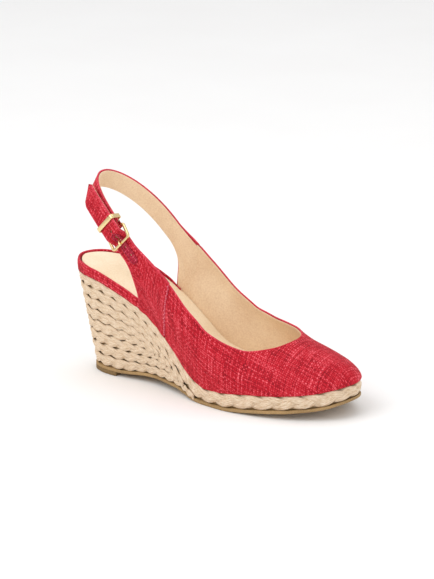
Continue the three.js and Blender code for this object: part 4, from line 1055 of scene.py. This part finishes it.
def strap_rows(side, width, columns=31):
    """The plain part of each strap as a grid that carries on from the quarter's last row."""
    u = np.linspace(-0.5, 0.5, columns)
    if side < 0:
        # the tail is cut on a slant, with its point at the upper edge and both corners rounded
        corners = 4 * np.maximum(0, np.abs(u) - 0.38) / 0.12 * np.where(u > 0, 0.6, 0.5)
        tip = TAIL_AT - TAIL_SLANT * (0.5 - u) - corners
        t = np.linspace(0, 1, 78)[1:, None]
        along = STRAP_FROM + (tip[None] - STRAP_FROM) * t
        return strap_surface(strap_angle(along), u * width, LAYER_TOP + billet_lift(along))
    dense = np.linspace(np.pi - strap_angle(STRAP_FROM), strap_angle(HEEL_BAR_AT + 3.4), 900)
    length = walked(strap_point(dense))
    angle = np.interp(np.linspace(0, length[-1], 120)[1:], length, dense)[:, None]
    level = 0 * angle + 0 * u
    return strap_surface(angle + level, u * width + level, LAYER_TOP + level)


def rim_distance(grid):
    """Distance from the two folded edges of a strap; the rear one fades out at the quarter's foot."""
    across = walked(grid, 1)
    fade = 40 * (1 - smooth(np.arange(grid.shape[0]), 2, 10))[:, None]
    return np.minimum(across + fade, across[:, -1:] - across)


def hole_cutters():
    """The holes punched through billet and patch as short pins: each outline is a circle whose two
    halves are drawn apart, by nothing for a round hole and to a slot for the one in use."""
    n = HOLE_SIDES
    angle = np.linspace(0, 2 * np.pi, n + 1)[:-1]
    points, faces = [], []
    for k in (-2, -1, 0, 1):
        in_use = k == 0
        centre, along, across, out = strap_frame(strap_angle(HOLE_AT + HOLE_PITCH * k + SLOT_SHIFT * in_use))
        apart, radius = (SLOT_APART, SLOT_RADIUS) if in_use else (0.0, HOLE_RADIUS)
        ahead = radius * np.cos(angle) + apart * np.sign(np.cos(angle) + 1e-9)
        ring = centre + along * ahead[:, None] + across * (radius * np.sin(angle))[:, None]
        first = len(points) * 2 * n
        points.append(np.concatenate([ring - out * 4, ring + out * 9]))
        walls, _, _ = grid_faces(2, n, round_columns=True)
        faces += [*(first + walls[:, ::-1]).tolist(), *end_caps(2, n, first)]
    return make_piece("hole_cutters", np.concatenate(points), faces, raffia)


def finish_strap(piece, cutters=None):
    """Fixes the thickness, rounds the edges and punches the holes."""
    if cutters:
        piece.modifiers.remove(piece.modifiers["finer"])
        soft = piece.modifiers.new("soft_edge", "BEVEL")
        soft.width, soft.segments, soft.limit_method, soft.angle_limit = 0.0003, 2, "ANGLE", math.radians(50)
        punch = piece.modifiers.new("punch", "BOOLEAN")
        punch.operation, punch.solver, punch.object = "DIFFERENCE", "EXACT", cutters
    graph = bpy.context.evaluated_depsgraph_get()
    made = bpy.data.meshes.new_from_object(piece.evaluated_get(graph), depsgraph=graph)
    piece.modifiers.clear()
    piece.data = made
    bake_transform(piece)


cutters = hole_cutters()
for side, word, strap, width in (
    (-1, "lateral", "billet", BILLET_WIDTH),
    (1, "medial", "sling", SLING_WIDTH),
):
    plain = strap_rows(side, width)
    upper = quarter_grid(side, width)
    # the foot turns down behind the braid, and the edge at the seam turns in behind the vamp
    u = np.linspace(0, 1, upper.shape[1])[None, :, None]
    tuck = upper[:1] + np.array([0, -side * 0.5, -VAMP_TUCK]) * smooth(1 - u, 0.68, 0.72)
    tuck = np.where(u > 0.3, tuck + np.array([0.25, 0, 0]), tuck)
    run = np.concatenate([tuck, upper, plain])
    quarter = cloth_sheet(f"quarter_strap_{word}", run, (0, side, 0), UPPER_THICK, raffia,
                          edge=rim_distance(run))
    lining_run = offset_grid(run, (0, side, 0), np.full(run.shape[:2], UPPER_THICK + 0.15))[1:, 1:-1]
    lining = cloth_sheet(f"quarter_strap_lining_{word}", lining_run, (0, side, 0), LINING_THICK, lining_cloth)
    for piece in (quarter, lining):
        finish_strap(piece, cutters if side < 0 else None)
    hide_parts(f"quarter_{word}", f"{strap}_strap")
    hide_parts(f"quarter_lining_{word}", f"{strap}_lining")


# ---- Patch round the holes -------------------------------------------------------------------
# A narrow tongue of the same cloth stitched over the punched holes, so that they don't fray.
PATCH_WIDTH, PATCH_START, PATCH_END, PATCH_THICK = 7.0, 1.0, 27.0, 0.5


def patch_grid():
    """A strip with half-round ends: its half width is a circle's near each end."""
    t = (1 - np.cos(np.linspace(0, np.pi, 60))) / 2
    along = PATCH_START + (PATCH_END - PATCH_START) * t
    from_end = np.minimum(along - PATCH_START, PATCH_END - along)
    half = PATCH_WIDTH / 2 * np.sqrt(np.clip(1 - (1 - np.minimum(from_end, 3.5) / 3.5) ** 2, 0.01, 1))
    across = np.linspace(-1, 1, 13)[None] * half[:, None]
    angle = strap_angle(along)[:, None] + 0 * across
    out = LAYER_TOP + PATCH_THICK + 0.02 + billet_lift(along)[:, None] + 0 * across
    return strap_surface(angle, across, out)


def inner_border(grid):
    """The points just inside a sheet's edge, once round."""
    return np.concatenate([grid[2:-2, 1], grid[-3, 1:-1], grid[2:-2, -2][::-1], grid[2, 1:-1][::-1]])


def stitch_row(name, path, outward, stitch, gap, radius, material):
    """A row of stitches on a path: each is a six-sided capsule with its ends bent into the cloth."""
    at, (line, out) = resample(0.2, path, outward)
    starts = np.arange(gap, at[-1] - stitch, stitch + gap)
    t = np.linspace(0, 1, 5)
    where = starts[:, None] + stitch * t
    centre = np.stack([np.interp(where, at, line[:, k]) for k in range(3)], -1)
    up = unit(np.stack([np.interp(where, at, out[:, k]) for k in range(3)], -1))
    centre = centre + up * (radius * (0.9 * np.sin(np.pi * t) - 0.2))[None, :, None]
    way = unit(np.gradient(centre, axis=1))
    side = unit(np.cross(up, way))
    angle = np.arange(6) / 6 * 2 * np.pi
    girth = (radius * np.array([0.45, 0.95, 1, 0.95, 0.45]))[None, :, None, None]
    spoke = side[:, :, None] * np.cos(angle)[:, None] + up[:, :, None] * np.sin(angle)[:, None]
    ring = centre[:, :, None] + girth * spoke
    faces, _, _ = grid_faces(5, 6, round_columns=True)
    one = [*faces.tolist(), *end_caps(5, 6)]
    all_faces = [[index + 30 * k for index in face] for k in range(len(starts)) for face in one]
    return make_piece(name, ring, all_faces, material)


def waxed_thread(name, dark, light):
    """Three-ply polyester thread: a slight gloss, and a twist drawn at about 0.5 mm."""
    return mottled(name, dark, light, 0.5, detail=2.0, dent=0.4, dent_mm=0.2, roughness=0.55)


pink_thread = waxed_thread("pink_thread", "#e06478", "#f8a3ae")
red_thread = waxed_thread("red_thread", "#7d0c1f", "#b32a40")

patch_run = patch_grid()
patch_cloth = raffia_weave("patch_raffia_weave", deep="#700318", red="#a80a2c", pale="#e86a80")
patch = cloth_sheet("hole_patch", patch_run, (0, -1, 0), PATCH_THICK, patch_cloth)
finish_strap(patch, cutters)
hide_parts("billet_patch")
bpy.data.objects.remove(cutters)

patch_out = unit(np.cross(np.gradient(patch_run, axis=0), np.gradient(patch_run, axis=1)))
patch_out *= np.sign(-patch_out[30, 6, 1])
patch_stitches = stitch_row("patch_stitches", inner_border(patch_run), inner_border(patch_out),
                            1.5, 0.55, 0.3, red_thread)
finish_strap(patch_stitches)


# ---- Side seams ------------------------------------------------------------------------------
# Vamp and quarter meet edge to edge over a thin cord, and a zigzag of paler thread holds them.
CORD_RADIUS, CORD_SUNK, ZIGZAG_STEP, ZIGZAG_HALF = 0.55, 0.45, 1.7, 0.75


def seam_path(side):
    """The seam line on the outer face, from the jute to the topline."""
    share = np.linspace(0.02, 0.985, 120)
    s = SEAM[side][0] + (SEAM[side][1] - SEAM[side][0]) * share
    line = upper_point(side, s, share)
    ahead = upper_point(side, s + 0.004, share) - line
    out = unit(np.cross(ahead, np.gradient(line, axis=0))) * -side
    out *= np.sign(out[60, 1] * side)
    return line, out


def tube(name, line, radius, material, sides=10):
    """A round cord along a line, with closed ends."""
    way = unit(np.gradient(line, axis=0))
    side = unit(np.cross(way, np.array([0, 0.35, 1.0])))
    up = np.cross(side, way)
    angle = np.arange(sides) / sides * 2 * np.pi
    spoke = side[:, None] * np.cos(angle)[:, None] + up[:, None] * np.sin(angle)[:, None]
    ring = line[:, None] + radius * spoke
    faces, _, _ = grid_faces(len(line), sides, round_columns=True)
    return make_piece(name, ring, [*faces.tolist(), *end_caps(len(line), sides)], material)


cord_thread = waxed_thread("seam_cord_thread", "#b01a33", "#d8435b")
for side, word in ((-1, "lateral"), (1, "medial")):
    line, out = seam_path(side)
    seam_cord = tube(f"seam_cord_{word}", line - out * CORD_SUNK, CORD_RADIUS, cord_thread)
    _, (even, even_out) = resample(ZIGZAG_STEP, line, out)
    ahead = unit(np.cross(even_out, np.gradient(even, axis=0)))
    zigzag = even + ahead * (ZIGZAG_HALF * (-1.0) ** np.arange(len(even)))[:, None]
    seam = stitch_row(f"seam_stitches_{word}", zigzag, even_out, 1.3, 0.9, 0.26, pink_thread)
    for piece in (seam_cord, seam):
        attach(piece, "shoe")


# ---- Buckle, prong, chape and keeper ------------------------------------------------------------
# Die-cast zinc plated in pale gold and polished: a flat frame on the heel bar, a bent wire prong
# and a flat keeper loop. A folded tab of cloth holds the heel bar on the end of the sling.
BUCKLE_SPAN, BAR_THICK, FRAME_HALF, PRONG_RADIUS = 11.8, 1.8, 9.3, 0.65
KEEPER_LENGTH, KEEPER_THICK = 3.0, 1.0
BAR_CENTRE = -0.4
PRONG_EYE = 1.42  # inner radius of the prong's eye on the heel bar
CHAPE_RADIUS, CHAPE_LENGTH, CHAPE_HALF, CHAPE_THICK = 1.85, 8.0, 7.0, 0.6
FRONT_BAR_LIFT = 1.3  # the front bar lies on the billet and its patch


def plated_gold():
    """Polished pale gold plate over zinc: bright metal with faint polishing marks."""
    material, tree, shader = new_material("polished_gold_plate", 0.2, Metallic=1.0)
    place = add_node(tree, "ShaderNodeTexCoord").outputs["Object"]
    marks = add_node(tree, "ShaderNodeTexNoise", {"Vector": place, "Scale": 1000 / 1.5, "Detail": 4.0})
    colour = add_node(tree, "ShaderNodeMix", {
        "Factor": marks.outputs["Fac"], 6: linear("#e3c587"), 7: linear("#f3dfae")}, data_type="RGBA")
    rough = add_node(tree, "ShaderNodeMapRange", {
        "Value": marks.outputs["Fac"], "To Min": 0.12, "To Max": 0.3})
    tree.links.new(colour.outputs[2], shader.inputs["Base Color"])
    tree.links.new(rough.outputs[0], shader.inputs["Roughness"])
    return material


gold = plated_gold()


def rounded_path(width, height, radius, corner=9):
    """A rounded rectangle in a plane, as points with their outward directions: four quarter
    circles joined by straight runs."""
    turns = [np.linspace(k * np.pi / 2, (k + 1) * np.pi / 2, corner) for k in range(4)]
    middles = [(1, 1), (-1, 1), (-1, -1), (1, -1)]
    out = np.concatenate([np.stack([np.cos(t), np.sin(t)], 1) for t in turns])
    centre = np.repeat(np.array(middles) * [width / 2 - radius, height / 2 - radius], corner, 0)
    return centre + radius * out, out


def loop(name, width, height, radius, broad, thick, place, material):
    """A bar bent into a rounded rectangle. Its section is broad along the plane's normal and thick
    in the plane, with each coordinate the power of a circle's, which squares it off, and place maps
    the local axes to the strap."""
    line, out = rounded_path(width, height, radius)
    t = np.arange(16) / 16 * 2 * np.pi + 0.0001
    power = 0.42
    a = np.sign(np.cos(t)) * np.abs(np.cos(t)) ** power * thick / 2
    b = np.sign(np.sin(t)) * np.abs(np.sin(t)) ** power * broad / 2
    flat = line[:, None] + out[:, None] * a[None, :, None]
    ring = np.concatenate([flat, b[None, :, None] + 0 * flat[..., :1]], -1)
    faces, _, _ = grid_faces(len(line), 16, round_rows=True, round_columns=True)
    return make_piece(name, place(ring), faces, material)


bar_centre, bar_along, bar_across, bar_out = strap_frame(strap_angle(HEEL_BAR_AT))
bar_middle = bar_centre + bar_out * BAR_CENTRE
to_front = -bar_along
upward = np.cross(to_front, bar_across)
front_level = LAYER_TOP + FRONT_BAR_LIFT + BAR_THICK / 2
front_at = strap_surface(strap_angle(HEEL_BAR_AT - BUCKLE_SPAN), 0.0, front_level)
front_x, front_z = (front_at - bar_middle) @ to_front, (front_at - bar_middle) @ upward
buckle_tilt = math.atan2(front_z, front_x)


def on_buckle(local, tilt=0.0):
    """Local axes to place: X towards the front bar, Y across, Z outwards, turned about the heel bar."""
    c, s = math.cos(tilt), math.sin(tilt)
    x, y, z = local[..., 0] * c - local[..., 2] * s, local[..., 1], local[..., 0] * s + local[..., 2] * c
    return bar_middle + x[..., None] * to_front + y[..., None] * bar_across + z[..., None] * upward


def frame_place(ring):
    """The buckle's frame lies tilted on the heel bar, up to the front bar's rest on the patch."""
    return on_buckle(ring + np.array([BUCKLE_SPAN / 2, 0, 0]), buckle_tilt)


buckle = loop("buckle_ring", BUCKLE_SPAN, 2 * FRAME_HALF, 2.2, BAR_THICK, 2.0, frame_place, gold)
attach(buckle, "buckle")
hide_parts("buckle_frame")


def prong_path():
    """The prong's centre line: once round the heel bar, out through the slot and over the front bar."""
    eye = PRONG_EYE + PRONG_RADIUS
    turn_angle = np.linspace(-2.75 * np.pi / 1.5, -0.05, 26)
    ring = np.stack([eye * np.cos(turn_angle), 0 * turn_angle, eye * np.sin(turn_angle)], 1)
    rest_on = front_z + BAR_THICK / 2 / math.cos(buckle_tilt) + PRONG_RADIUS + 0.3
    run = np.array([[eye, 0, 0.3], [4.6, 0, 0.0], [7, 0, 1.3], [BUCKLE_SPAN - 2.4, 0, rest_on - 1],
                    [BUCKLE_SPAN - 0.2, 0, rest_on], [BUCKLE_SPAN + 1.3, 0, rest_on - 0.1]])
    chord = walked(run)
    even = np.linspace(0, chord[-1], 40)
    ahead, outward = (curve(np.stack([chord, run[:, k]], 1), even) for k in (0, 2))
    return np.concatenate([ring, np.stack([ahead, 0 * even, outward], 1)[2:]])


prong = tube("buckle_prong_wire", on_buckle(prong_path()), PRONG_RADIUS + 0.1, gold, sides=12)
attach(prong, "prong")
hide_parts("buckle_prong")

keep_centre, keep_along, keep_across, keep_out = strap_frame(strap_angle(KEEPER_AT))
KEEPER_LOW, KEEPER_HIGH = -2.9, LAYER_TOP + BILLET_LIFT + 0.3


def keeper_place(ring):
    """The keeper stands across the strap: local X is across it, Y outwards and Z along it."""
    x, y, z = ring[..., 0:1], ring[..., 1:2] + (KEEPER_LOW + KEEPER_HIGH) / 2, ring[..., 2:3]
    return keep_centre + x * keep_across + y * keep_out + z * keep_along


keeper = loop("keeper_band", SLING_WIDTH + 1.9, KEEPER_HIGH - KEEPER_LOW + 1.3, 1.5,
              KEEPER_LENGTH + 0.4, KEEPER_THICK + 0.1, keeper_place, gold)
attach(keeper, "keeper_loop")
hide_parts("keeper")


def chape_grid():
    """A tab folded round the heel bar: two flat runs joined by a half circle."""
    arc = np.linspace(np.pi / 2, -np.pi / 2, 12)
    runs = np.linspace(-CHAPE_LENGTH, -0.4, 12)
    along = np.concatenate([runs, CHAPE_RADIUS * np.cos(arc), runs[::-1]])[:, None]
    out = CHAPE_RADIUS * np.concatenate([0 * runs + 1, np.sin(arc), 0 * runs - 1])[:, None]
    across = np.linspace(-CHAPE_HALF, CHAPE_HALF, 17)
    return on_buckle(np.stack([along + 0 * across, across + 0 * along, out + 0 * across], -1))


chape = cloth_sheet("chape_tab", chape_grid(), to_front, CHAPE_THICK, raffia)
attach(chape, "sling")
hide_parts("chape")
